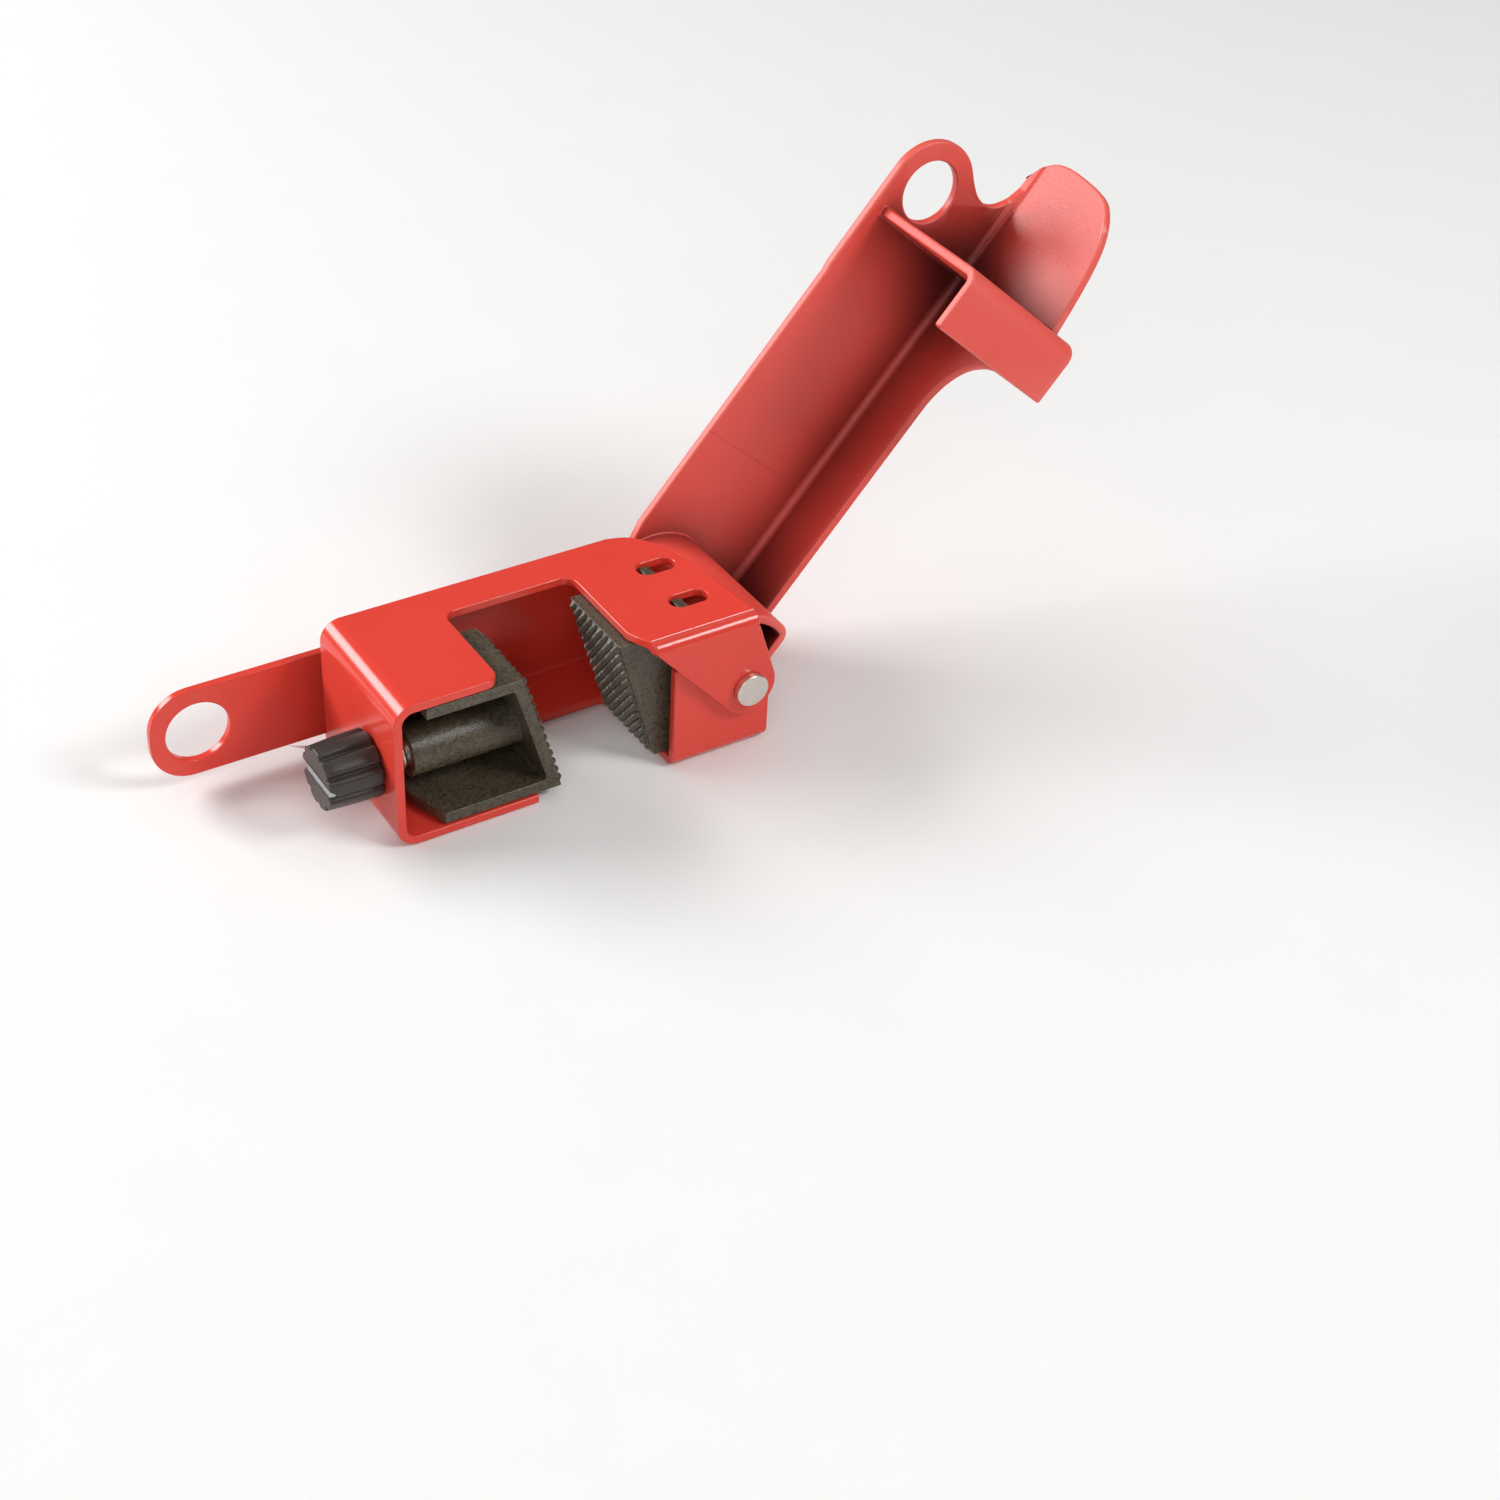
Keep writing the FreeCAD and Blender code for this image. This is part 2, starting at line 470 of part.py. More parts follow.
def thumb_screw():
    shank = [rod(screw_root, "x", knob_end - knob_deep, knob_end, screw_y, screw_z),
             rod(screw_r, "x", knob_end, thread_x, screw_y, screw_z),
             rod(screw_root, "x", thread_x, screw_end, screw_y, screw_z)]
    x = thread_x + 0.1
    d = screw_r - screw_root
    while x + screw_pitch < screw_end:
        ridge = Part.Face(Part.makePolygon([V(x, screw_y, screw_z + screw_root - 0.05),
                                            V(x + screw_pitch * 0.9, screw_y, screw_z + screw_root - 0.05),
                                            V(x + screw_pitch * 0.56, screw_y, screw_z + screw_root + d),
                                            V(x + screw_pitch * 0.34, screw_y, screw_z + screw_root + d),
                                            V(x, screw_y, screw_z + screw_root - 0.05)]))
        shank.append(ridge.revolve(V(x, screw_y, screw_z), V(1, 0, 0), 360))
        x += screw_pitch
    whole = merged(shank)
    g0, g1 = ring_x - 0.05, ring_x + ring_t + 0.05
    groove = rod(screw_r + 1, "x", g0, g1, screw_y, screw_z).cut(rod(screw_root, "x", g0, g1, screw_y, screw_z))
    return single(whole.cut(groove))


def retaining_ring():
    x0 = ring_x
    ring = rod(ring_r, "x", x0, x0 + ring_t, screw_y, screw_z)
    ring = ring.cut(rod(screw_root, "x", x0 - 1, x0 + ring_t + 1, screw_y, screw_z))
    mouth = box(x0 - 1, x0 + ring_t + 1, screw_y - screw_root * 0.86, screw_y + screw_root * 0.86,
                screw_z - ring_r - 1, screw_z)
    for k in (-1, 1):
        ring = ring.cut(rod(0.9, "x", x0 - 1, x0 + ring_t + 1, screw_y + k * 3.3, screw_z + 1.6))
    return single(ring.cut(mouth))


os.makedirs("parts", exist_ok=True)
steel_body().exportStep("parts/steel_body.step")
turned(cover_closed(), open_angle).exportStep("parts/cover.step")
hinge_rivet().exportStep("parts/hinge_rivet.step")
sliding_jaw().exportStep("parts/sliding_jaw.step")
fixed_jaw().exportStep("parts/fixed_jaw.step")
thumb_knob().exportStep("parts/thumb_knob.step")
thumb_screw().exportStep("parts/thumb_screw.step")
retaining_ring().exportStep("parts/retaining_ring.step")
print("parts written")
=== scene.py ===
import bpy
import bmesh
import json
from math import sin, cos, tan, pi, radians, acos, atan2, hypot, sqrt
from mathutils import Vector, Matrix
from mathutils.bvhtree import BVHTree


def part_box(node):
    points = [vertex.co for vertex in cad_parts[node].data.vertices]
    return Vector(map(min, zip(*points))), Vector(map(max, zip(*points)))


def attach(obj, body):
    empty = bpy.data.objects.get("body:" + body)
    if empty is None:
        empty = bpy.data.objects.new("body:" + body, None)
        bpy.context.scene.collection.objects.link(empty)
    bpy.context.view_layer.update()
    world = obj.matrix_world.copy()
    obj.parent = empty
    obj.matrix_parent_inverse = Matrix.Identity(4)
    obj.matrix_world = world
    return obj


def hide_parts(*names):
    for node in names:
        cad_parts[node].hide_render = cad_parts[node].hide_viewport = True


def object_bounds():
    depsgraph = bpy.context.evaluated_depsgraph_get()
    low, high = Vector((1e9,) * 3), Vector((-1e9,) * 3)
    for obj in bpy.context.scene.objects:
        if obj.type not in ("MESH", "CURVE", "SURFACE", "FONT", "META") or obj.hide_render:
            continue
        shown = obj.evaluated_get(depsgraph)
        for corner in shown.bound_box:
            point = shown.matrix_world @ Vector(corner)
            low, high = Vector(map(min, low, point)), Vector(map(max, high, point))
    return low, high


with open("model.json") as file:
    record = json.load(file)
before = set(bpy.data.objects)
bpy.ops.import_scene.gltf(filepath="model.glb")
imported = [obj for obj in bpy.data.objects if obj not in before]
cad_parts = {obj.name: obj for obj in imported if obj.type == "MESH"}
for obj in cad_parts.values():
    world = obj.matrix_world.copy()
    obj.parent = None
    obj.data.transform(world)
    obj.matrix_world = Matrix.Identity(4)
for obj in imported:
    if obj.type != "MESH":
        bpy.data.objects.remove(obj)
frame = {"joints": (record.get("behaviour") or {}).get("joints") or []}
cadLow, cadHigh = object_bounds()
scene = bpy.context.scene
mm = 0.001


def cadBox(node):  # a node's corners in millimetres
    low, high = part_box(node)
    return low / mm, high / mm


def jointOf(name):
    return next(j for j in frame["joints"] if j["name"] == name)


coverJoint = jointOf("cover_hinge")
pin = Vector(coverJoint["pos_m"]) / mm
openTurn = Matrix.Rotation(radians(-coverJoint["range_deg"][0]), 4, "Y")


class Wire:  # one output socket, with the usual operators
    def __init__(self, finish, socket):
        self.finish = finish
        self.socket = socket

    def maths(self, operation, a, b=0.0):
        return self.finish.node("ShaderNodeMath", {"operation": operation}, {0: a, 1: b})

    def __add__(self, other):
        return self.maths("ADD", self, other)

    def __radd__(self, other):
        return self.maths("ADD", other, self)

    def __sub__(self, other):
        return self.maths("SUBTRACT", self, other)

    def __rsub__(self, other):
        return self.maths("SUBTRACT", other, self)

    def __mul__(self, other):
        return self.maths("MULTIPLY", self, other)

    def __rmul__(self, other):
        return self.maths("MULTIPLY", other, self)

    def __truediv__(self, other):
        return self.maths("DIVIDE", self, other)

    def __pow__(self, other):
        return self.maths("POWER", self, other)

    def absolute(self):
        return self.maths("ABSOLUTE", self)

    def below(self, limit):
        return self.maths("LESS_THAN", self, limit)

    def clamped(self):
        return self.finish.node("ShaderNodeClamp", {}, {"Value": self, "Min": 0.0, "Max": 1.0})


class Finish:  # a material that is built node by node
    def __init__(self, name):
        self.material = bpy.data.materials.new(name)
        self.material.use_nodes = True
        self.tree = self.material.node_tree
        self.tree.nodes.clear()
        self.end = self.tree.nodes.new("ShaderNodeOutputMaterial")

    def node(self, kind, settings=None, sockets=None, out=0):
        made = self.tree.nodes.new(kind)
        for key, value in (settings or {}).items():
            if key == "stops":
                ramp = made.color_ramp
                while len(ramp.elements) < len(value):
                    ramp.elements.new(0.5)
                for element, (place, colour) in zip(ramp.elements, value):
                    element.position = place
                    element.color = colour
            else:
                setattr(made, key, value)
        for key, value in (sockets or {}).items():
            if isinstance(value, Wire):
                self.tree.links.new(value.socket, made.inputs[key])
            else:
                made.inputs[key].default_value = value
        return Wire(self, made.outputs[out])

    def place(self):
        return self.node("ShaderNodeTexCoord", {}, {}, "Object")

    def noise(self, scale, detail=2.0, rough=0.5, where=None):
        return self.node("ShaderNodeTexNoise", {}, {"Vector": where or self.place(), "Scale": scale,
                                                    "Detail": detail, "Roughness": rough})

    def grains(self, scale):
        return self.node("ShaderNodeTexVoronoi", {}, {"Vector": self.place(), "Scale": scale})

    def mixed(self, share, a, b):
        return self.node("ShaderNodeMix", {"data_type": "RGBA"}, {0: share, 6: a, 7: b}, 2)

    def bump(self, height, strength, distance):
        return self.node("ShaderNodeBump", {}, {"Height": height, "Strength": strength,
                                                "Distance": distance})

    def shader(self, sockets):
        made = self.node("ShaderNodeBsdfPrincipled", {}, sockets)
        self.tree.links.new(made.socket, self.end.inputs["Surface"])
        return self.material


def tone(red, green, blue, alpha=1.0):  # a colour given as it looks on screen
    def linear(c):
        return c / 12.92 if c <= 0.04045 else ((c + 0.055) / 1.055) ** 2.4
    return (linear(red), linear(green), linear(blue), alpha)


powderLook = {"base": tone(0.875, 0.27, 0.215), "deep": tone(0.845, 0.235, 0.185), "rough": 0.20,
              "peelScale": 900.0, "peelDepth": 0.00003}
mouldLook = {"base": tone(0.90, 0.33, 0.28), "deep": tone(0.86, 0.285, 0.245),
             # the darkest red here is painted shade for corners and creases; the palest pink is a painted
             # highlight for sharp edges
             "edge": tone(0.93, 0.52, 0.48), "line": tone(0.70, 0.20, 0.17), "paintedShade": tone(0.30, 0.08, 0.07),
             "paintedShadeReach": 0.02, "lineX": 62.1, "lineHalf": 0.11, "lineShare": 0.55, "rough": 0.40,
             "grainScale": 2600.0, "grainDepth": 0.00006}
jawLook = {"dark": tone(0.15, 0.13, 0.10), "pale": tone(0.40, 0.36, 0.285), "rough": 0.36,
           "grainScale": 1500.0, "grainDepth": 0.00010}
knobLook = {"dark": tone(0.15, 0.125, 0.11), "pale": tone(0.25, 0.22, 0.20), "rough": 0.36}
steelLook = {"dark": tone(0.78, 0.75, 0.71), "pale": tone(0.95, 0.93, 0.90), "rough": 0.34}


def powderCoat():
    f = Finish("powderCoat")
    cloud = f.noise(45.0, 3.0)
    peel = f.noise(powderLook["peelScale"], 2.0)
    speck = f.noise(5200.0, 1.0)
    colour = f.mixed(cloud, powderLook["deep"], powderLook["base"])
    return f.shader({"Base Color": colour, "Roughness": powderLook["rough"] + (cloud - 0.5) * 0.10,
                     "Normal": f.bump(peel + speck * 0.15, 0.5, powderLook["peelDepth"]),
                     "Specular IOR Level": 0.42, "Coat Weight": 0.10, "Coat Roughness": 0.06})


def mouldedRed():
    f = Finish("mouldedRed")
    cloud = f.noise(38.0, 3.0)
    grain = f.noise(mouldLook["grainScale"], 3.0, 0.6)
    pores = f.grains(mouldLook["grainScale"] * 0.5)
    colour = f.mixed((cloud * 0.7 + grain * 0.3).clamped(), mouldLook["deep"], mouldLook["base"])
    # painted shade darkening corners and creases, a painted highlight on sharp edges, and a faint darker
    # line across the cover
    pointed = f.node("ShaderNodeNewGeometry", {}, {}, "Pointiness")
    paintedShade = f.node("ShaderNodeAmbientOcclusion", {"samples": 8, "only_local": True},
                  {"Distance": mouldLook["paintedShadeReach"]}, "AO")
    # painted shade: ambient occlusion pulls corners and creases towards a dark red
    colour = f.mixed(((1.0 - paintedShade) * 1.9 - 0.22).clamped(), colour, mouldLook["paintedShade"])
    # painted highlight: sharp edges, found by pointiness, turn a pale pink
    colour = f.mixed(((pointed - 0.52) * 14.0).clamped(), colour, mouldLook["edge"])
    length = openTurn.inverted().to_3x3()[0]          # the closed cover's x, seen from the open one
    spot = f.node("ShaderNodeVectorMath", {"operation": "DOT_PRODUCT"}, {0: f.place(), 1: length}, "Value")
    offset = Vector((pin.x, 0, pin.z)) @ length
    away = (spot / mm - offset + pin.x - mouldLook["lineX"]).absolute()
    # a faint darker band across the cover at lineX along the closed cover's length
    colour = f.mixed(away.below(mouldLook["lineHalf"]) * mouldLook["lineShare"], colour, mouldLook["line"])
    return f.shader({"Base Color": colour, "Roughness": mouldLook["rough"] + (grain - 0.5) * 0.25,
                     "Normal": f.bump(grain + pores * 0.35, 0.8, mouldLook["grainDepth"]),
                     "Specular IOR Level": 0.5})


def filledPolymer():
    f = Finish("filledPolymer")
    mottle = f.node("ShaderNodeValToRGB", {"stops": [(0.38, (0, 0, 0, 1)), (0.66, (1, 1, 1, 1))]},
                    {"Fac": f.noise(jawLook["grainScale"], 4.0, 0.65)})
    cloud = f.noise(120.0, 3.0)
    grain = f.noise(jawLook["grainScale"] * 1.4, 3.0, 0.6)
    colour = f.mixed((mottle * 0.55 + cloud * 0.45).clamped(), jawLook["dark"], jawLook["pale"])
    return f.shader({"Base Color": colour, "Roughness": jawLook["rough"] + (mottle - 0.5) * 0.2,
                     "Normal": f.bump(grain, 0.9, jawLook["grainDepth"]), "Specular IOR Level": 0.5})


def blackPolymer():
    f = Finish("blackPolymer")
    cloud = f.noise(140.0, 3.0)
    grain = f.noise(2400.0, 2.0)
    colour = f.mixed(cloud, knobLook["dark"], knobLook["pale"])
    return f.shader({"Base Color": colour, "Roughness": knobLook["rough"] + (grain - 0.5) * 0.2,
                     "Normal": f.bump(grain, 0.6, 0.00005), "Specular IOR Level": 0.5})


def platedSteel():
    f = Finish("platedSteel")
    cloud = f.noise(300.0, 4.0)
    drawn = f.node("ShaderNodeMapping", {}, {"Vector": f.place(), "Scale": (400.0, 400.0, 4200.0)})
    scratch = f.noise(1.0, 3.0, 0.5, drawn)
    colour = f.mixed((cloud * 0.6 + scratch * 0.4).clamped(), steelLook["dark"], steelLook["pale"])
    return f.shader({"Base Color": colour, "Roughness": steelLook["rough"] + (scratch - 0.5) * 0.2,
                     "Metallic": 1.0, "Normal": f.bump(scratch, 0.25, 0.00004)})


coat = powderCoat()
moulded = mouldedRed()
filled = filledPolymer()
black = blackPolymer()
plated = platedSteel()
print("finishes ready")


# every shape is in millimetres until it is finished
def asObject(name, verts, faces):
    mesh = bpy.data.meshes.new(name)
    mesh.from_pydata([Vector(v) for v in verts], [], faces)
    bm = bmesh.new()
    bm.from_mesh(mesh)
    bmesh.ops.recalc_face_normals(bm, faces=bm.faces)
    bm.to_mesh(mesh)
    bm.free()
    made = bpy.data.objects.new(name, mesh)
    scene.collection.objects.link(made)
    return made


def rounded(points, step=7.0):  # a third number on a point rounds that corner
    line = []
    n = len(points)
    for i, p in enumerate(points):
        r = p[2] if len(p) > 2 else 0
        if not r:
            line.append(p[:2])
            continue
        q, s = points[i - 1], points[(i + 1) % n]
        d1 = Vector((q[0] - p[0], q[1] - p[1])).normalized()
        d2 = Vector((s[0] - p[0], s[1] - p[1])).normalized()
        half = acos(max(-1.0, min(1.0, d1.dot(d2)))) / 2
        centre = Vector(p[:2]) + (d1 + d2).normalized() * (r / sin(half))
        t1 = Vector(p[:2]) + d1 * (r / tan(half)) - centre
        t2 = Vector(p[:2]) + d2 * (r / tan(half)) - centre
        start = atan2(t1.y, t1.x)
        sweep = (atan2(t2.y, t2.x) - start + pi) % (2 * pi) - pi
        count = max(3, int(abs(sweep) / radians(step)))
        for k in range(count + 1):
            a = start + sweep * k / count
            line.append((centre.x + r * cos(a), centre.y + r * sin(a)))
    return line


def blended(a, b, start, end, t):  # a at start, b at end
    return a * ((end - t) / (end - start)) + b * ((t - start) / (end - start))


def smooth(points, per=8):  # points along a curve that passes through the given ones
    p = [Vector(q[:2]) for q in points]
    p = [2 * p[0] - p[1]] + p + [2 * p[-1] - p[-2]]
    line = []
    for i in range(1, len(p) - 2):
        near = p[i - 1:i + 3]
        knots = [0.0]
        for a, b in zip(near, near[1:]):
            knots.append(knots[-1] + max(1e-6, (b - a).length) ** 0.5)
        for k in range(per):
            t = knots[1] + (knots[2] - knots[1]) * k / per
            first = [blended(near[j], near[j + 1], knots[j], knots[j + 1], t) for j in range(3)]
            second = [blended(first[j], first[j + 1], knots[j], knots[j + 2], t) for j in range(2)]
            line.append(tuple(blended(*second, knots[1], knots[2], t)))
    line.append(tuple(p[-2]))
    return line


lifts = {"x": lambda a, u, v: (a, u, v), "y": lambda a, u, v: (u, a, v), "z": lambda a, u, v: (u, v, a)}


def prism(points, along, a, b, name="tool"):
    line = rounded(points)
    n = len(line)
    lift = lifts[along]
    verts = [lift(a, *p) for p in line] + [lift(b, *p) for p in line]
    faces = [list(range(n)), [2 * n - 1 - i for i in range(n)]]
    faces += [[i, (i + 1) % n, n + (i + 1) % n, n + i] for i in range(n)]
    return asObject(name, verts, faces)


def box(x0, x1, y0, y1, z0, z1):
    return prism([(x0, z0), (x1, z0), (x1, z1), (x0, z1)], "y", y0, y1)


def rod(r, along, a, b, u, v, sides=96):
    ring = [(u + r * cos(2 * pi * k / sides), v + r * sin(2 * pi * k / sides)) for k in range(sides)]
    return prism(ring, along, a, b)


def loft(low, high, name="tool"):  # two closed outlines with the same number of points
    n = len(low)
    faces = [list(range(n)), [2 * n - 1 - i for i in range(n)]]
    faces += [[i, (i + 1) % n, n + (i + 1) % n, n + i] for i in range(n)]
    return asObject(name, list(low) + list(high), faces)


def combined(base, tools, operation):
    for tool in tools:
        m = base.modifiers.new("cut", "BOOLEAN")
        m.operation = operation
        m.solver = "MANIFOLD"
        m.object = tool
    graph = bpy.context.evaluated_depsgraph_get()
    mesh = bpy.data.meshes.new_from_object(base.evaluated_get(graph))
    base.modifiers.clear()
    base.data = mesh
    for tool in tools:
        bpy.data.objects.remove(tool)
    return base


def cut(base, *tools):
    return combined(base, tools, "DIFFERENCE")


def join(base, *tools):
    return combined(base, tools, "UNION")


def common(base, tool):
    return combined(base, [tool], "INTERSECT")


def touching(px, pz, cx, cz, r):  # where lines from a point touch a circle
    d = hypot(px - cx, pz - cz)
    base, spread = atan2(pz - cz, px - cx), acos(r / d)
    return [(cx + r * cos(base + s), cz + r * sin(base + s)) for s in (-spread, spread)]


def baked(piece):  # the modifiers become plain mesh
    graph = bpy.context.evaluated_depsgraph_get()
    mesh = bpy.data.meshes.new_from_object(piece.evaluated_get(graph), preserve_all_data_layers=True,
                                           depsgraph=graph)
    piece.modifiers.clear()
    piece.data = mesh
    return piece


clean = {"weld": 0.004, "flat": 0.4, "stray": 0.6, "leastEdge": 0.1, "lastWeld": 0.002, "weight": 80}


def finished(piece, name, material, edge, steps, angle, move=None):
    # tidy flat faces, rounded edges, metres, one material
    mesh = piece.data
    if move:
        mesh.transform(move)
    bm = bmesh.new()
    bm.from_mesh(mesh)
    bmesh.ops.remove_doubles(bm, verts=bm.verts, dist=clean["weld"])
    bmesh.ops.dissolve_limit(bm, angle_limit=radians(clean["flat"]), verts=bm.verts, edges=bm.edges)
    bmesh.ops.dissolve_degenerate(bm, dist=clean["weld"], edges=bm.edges)
    skin = BVHTree.FromBMesh(bm)
    bm.to_mesh(mesh)
    bm.free()
    piece.name = name
    m = piece.modifiers.new("edges", "BEVEL")
    m.width = edge
    m.segments = steps
    m.limit_method = "ANGLE"
    m.angle_limit = radians(angle)
    m.use_clamp_overlap = False
    m.miter_outer = "MITER_ARC"
    m.harden_normals = False
    mesh = baked(piece).data
    bm = bmesh.new()
    bm.from_mesh(mesh)
    for vert in bm.verts:  # a rounded corner that strays goes back to the surface
        spot, facing, index, far = skin.find_nearest(vert.co)
        if far > max(edge, clean["leastEdge"]) * clean["stray"]:
            vert.co = spot
    bmesh.ops.remove_doubles(bm, verts=bm.verts, dist=clean["lastWeld"])
    openEdges = sum(1 for e in bm.edges if len(e.link_faces) != 2)
    bmesh.ops.recalc_face_normals(bm, faces=bm.faces)
    bm.to_mesh(mesh)
    bm.free()
    mesh.transform(Matrix.Scale(mm, 4))
    mesh.shade_smooth()
    mesh.set_sharp_from_angle(angle=radians(angle))
    w = piece.modifiers.new("flats", "WEIGHTED_NORMAL")
    w.keep_sharp = True
    w.weight = clean["weight"]
    mesh.materials.clear()
    mesh.materials.append(material)
    for polygon in mesh.polygons:
        polygon.material_index = 0
    print(name, "faces", len(mesh.polygons), "open edges", openEdges)
    return piece


bodyLow, bodyHigh = cadBox("steel_body")
knobLow, knobHigh = cadBox("thumb_knob")
screwLow, screwHigh = cadBox("thumb_screw")
rivetLow, rivetHigh = cadBox("hinge_rivet")
screwAxis = ((screwLow.y + screwHigh.y) / 2, (screwLow.z + screwHigh.z) / 2)

rivetR = 2.5
screwR = 3.175

steel = {"sheet": 1.8, "holeR": 6.35, "lugHalf": 9.6, "lugCorner": 8.2, "stepX": 25.6, "wallX": 23.6,
         "backGap": -5.7, "frontY": -37.2, "endBend": 4.2, "foldBend": 2.6, "topNotch": (45.2, 72.2, -13.8),
         "lowNotch": (52.8, 80.1, -15.4), "notchR": 2.6, "slotX": 88.2, "slotY": (-18.6, -31.0),
         "slotLong": 8.0, "slotWide": 4.2, "earR": 6.0, "earLeft": 3.16, "earRight": 4.0, "panelGap": 0.15,
         "panelTop": 7.4, "crestIn": 1.5, "nibR": 3.0, "stripCorner": 8.0, "clear": 0.05, "edge": 0.34}


def steelBody():
    s = steel
    t = s["sheet"]
    left, right, base, top = bodyLow.x, bodyHigh.x, bodyLow.z, bodyHigh.z
    ear = bodyLow.y
    low, under = base + t, top - t
    wall, gap, front = s["wallX"], s["backGap"], s["frontY"]
    bend, fold = s["endBend"], s["foldBend"]
    over = 0.4                                        # pieces of one sheet run into each other
    waist = 2.0                                       # a level between the two flanges
    out = front - 8                                   # well in front of the flanges
    loop = prism([(right, base), (wall, base, bend), (wall, top, bend), (right, top), (right, under),
                  (wall + t, under, bend - t), (wall + t, low, bend - t), (right, low)], "y", gap, ear)
    a, b, notchY = s["topNotch"]
    c, d, lowY = s["lowNotch"]
    panel = ear + t + s["panelGap"]
    loop = cut(loop, box(left, (a + b) / 2, ear - 1, front, base - 1, top + 1),
               prism([(a, out), (a, notchY, s["notchR"]), (b, notchY, s["notchR"]), (b, out)],
                     "z", waist, top + 1),
               prism([(c, out), (c, lowY, s["notchR"]), (d, lowY, s["notchR"]), (d, out)],
                     "z", base - 1, waist),
               box(a + 1, c + 1, ear - 1, front, base - 1, 0),
               box(b - 1, right + 1, ear - 1, ear + fold - over, waist, top + 1),
               box(d - 1, right + 1, ear - 1, panel + fold - over, base - 1, waist))
    r = s["nibR"]                                     # free corner of the screw end's top
    nib = cut(box(a - r, a + 1, front - 1, front + r, waist, top + 1),
              rod(r, "z", waist - 1, top + 2, a - r, front + r))
    loop = cut(loop, nib)
    # top sheet folding down into the ear
    earSheet = prism([(ear + fold, top), (ear, top, fold), (ear, pin.z - 8), (ear + t, pin.z - 8),
                      (ear + t, under, fold - t), (ear + fold, under)], "x", b, right)
    e0, e1 = b + s["earLeft"], right - s["earRight"]
    foldLow = top - fold
    low0 = min(touching(e0, foldLow, pin.x, pin.z, s["earR"]), key=lambda q: q[1])
    low1 = max(touching(e1, foldLow, pin.x, pin.z, s["earR"]), key=lambda q: q[0])
    mask = prism([(b - 1, top + 1), (b - 1, foldLow), (e0, foldLow), low0, (pin.x, pin.z), low1,
                  (e1, foldLow), (right + 1, foldLow), (right + 1, top + 1)], "y", ear - 1, ear + fold + 1)
    mask = join(mask, rod(s["earR"], "y", ear - 1, ear + fold + 1, pin.x, pin.z))
    earSheet = common(earSheet, mask)
    # rounded plan of the hinge end
    rim = smooth([(84.5, gap), (88.2, -7.0), (91.0, -9.8), (92.9, -13.4), (94.2, -18.0), (95.3, -24.0),
                  (96.4, -32.0), (e1, ear), (e1 + 0.1, ear - 1)])
    plan = prism(rim + [(right + 2, ear - 1), (right + 2, gap + 2), (84.5, gap + 2)], "z", foldLow, top + 1)
    chamfer = prism([(b - 1, -35.6), (b, -35.6), (e0, ear), (e0, ear - 1), (b - 1, ear - 1)],
                    "z", foldLow, top + 1)
    # lower sheet folding up behind the ear
    panelSheet = prism([(panel + fold, base), (panel, base, fold), (panel, pin.z + 9),
                        (panel + t, pin.z + 9), (panel + t, low, fold - t), (panel + fold, low)],
                       "x", d, right)
    crest, crestX = pin.z + s["panelTop"], d + s["crestIn"]
    peak = max(touching(crestX, crest, pin.x, pin.z, s["earR"]), key=lambda q: q[1])
    face = prism([(d - 1, base - 1), (right + 1, base - 1), (right + 1, pin.z), (pin.x, pin.z), peak,
                  (crestX, crest), (d - 1, crest)], "y", panel - 1, panel + fold + 1)
    face = join(face, rod(s["earR"], "y", panel - 1, panel + fold + 1, pin.x, pin.z))
    panelSheet = common(panelSheet, face)
    # back strip, its bend into the lower flange, and the lug
    strip = prism([(0, s["lugHalf"]), (0, base, fold), (gap - over, base), (gap - over, low),
                   (-t, low, fold - t), (-t, s["lugHalf"])], "x", s["stepX"], right)
    end = s["stripCorner"]
    strip = cut(strip, cut(box(right - end, right + 1, -t - 1, 1, s["lugHalf"] - end, s["lugHalf"] + 1),
                           rod(end, "y", -t - 2, 2, right - end, s["lugHalf"] - end)))
    lug = prism([(left, -s["lugHalf"], s["lugCorner"]), (s["stepX"] + over, -s["lugHalf"]),
                 (s["stepX"] + over, s["lugHalf"]), (left, s["lugHalf"], s["lugCorner"])], "y", -t, 0)
    whole = join(loop, earSheet, panelSheet, strip, lug)
    pinHole = rivetR + s["clear"]
    slots = []
    half = s["slotWide"] / 2
    r = half - 0.01                                   # a hair less than a full round end
    x0, x1 = s["slotX"] - s["slotLong"] / 2, s["slotX"] + s["slotLong"] / 2
    for y in s["slotY"]:
        slots.append(prism([(x0, y - half, r), (x1, y - half, r), (x1, y + half, r), (x0, y + half, r)],
                           "z", under - 1, top + 1))
    whole = cut(whole, plan, chamfer, rod(s["holeR"], "y", -t - 1, 1, 0, 0),
                rod(pinHole, "y", -t - 1, 1, pin.x, pin.z),
                rod(pinHole, "y", ear - 1, panel + t + 1, pin.x, pin.z),
                rod(screwR + s["clear"], "x", wall - 1, wall + t + 1, *screwAxis), *slots)
    return finished(whole, "steelBody", coat, s["edge"], 3, 32)


body = steelBody()
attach(body, "frame")
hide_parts("steel_body")

print("steel body ready")


# the cover is drawn closed, then swung open
cover = {"wall": 1.8, "back": (-3.2, -5.1), "roofZ": 22.1, "endX": 101.7, "cornerR": 9.0, "shellR": 4.2,
         "innerR": 1.6, "lowZ": -9.8, "lugR": 10.3, "lugEnd": 146.0, "holeR": 6.35, "hubR": 13.2,
         "hubFront": -38.0, "hubFlat": 7.9, "bossR": 4.6, "roofFront": -17.5, "hookX": (7.4, 20.0),
         "hookY": (-38.6, -41.0), "hookR": 3.2, "panelR": 3.0, "reach": 7.0, "tip": -21.0,
         "clear": 0.05, "edge": 0.42}


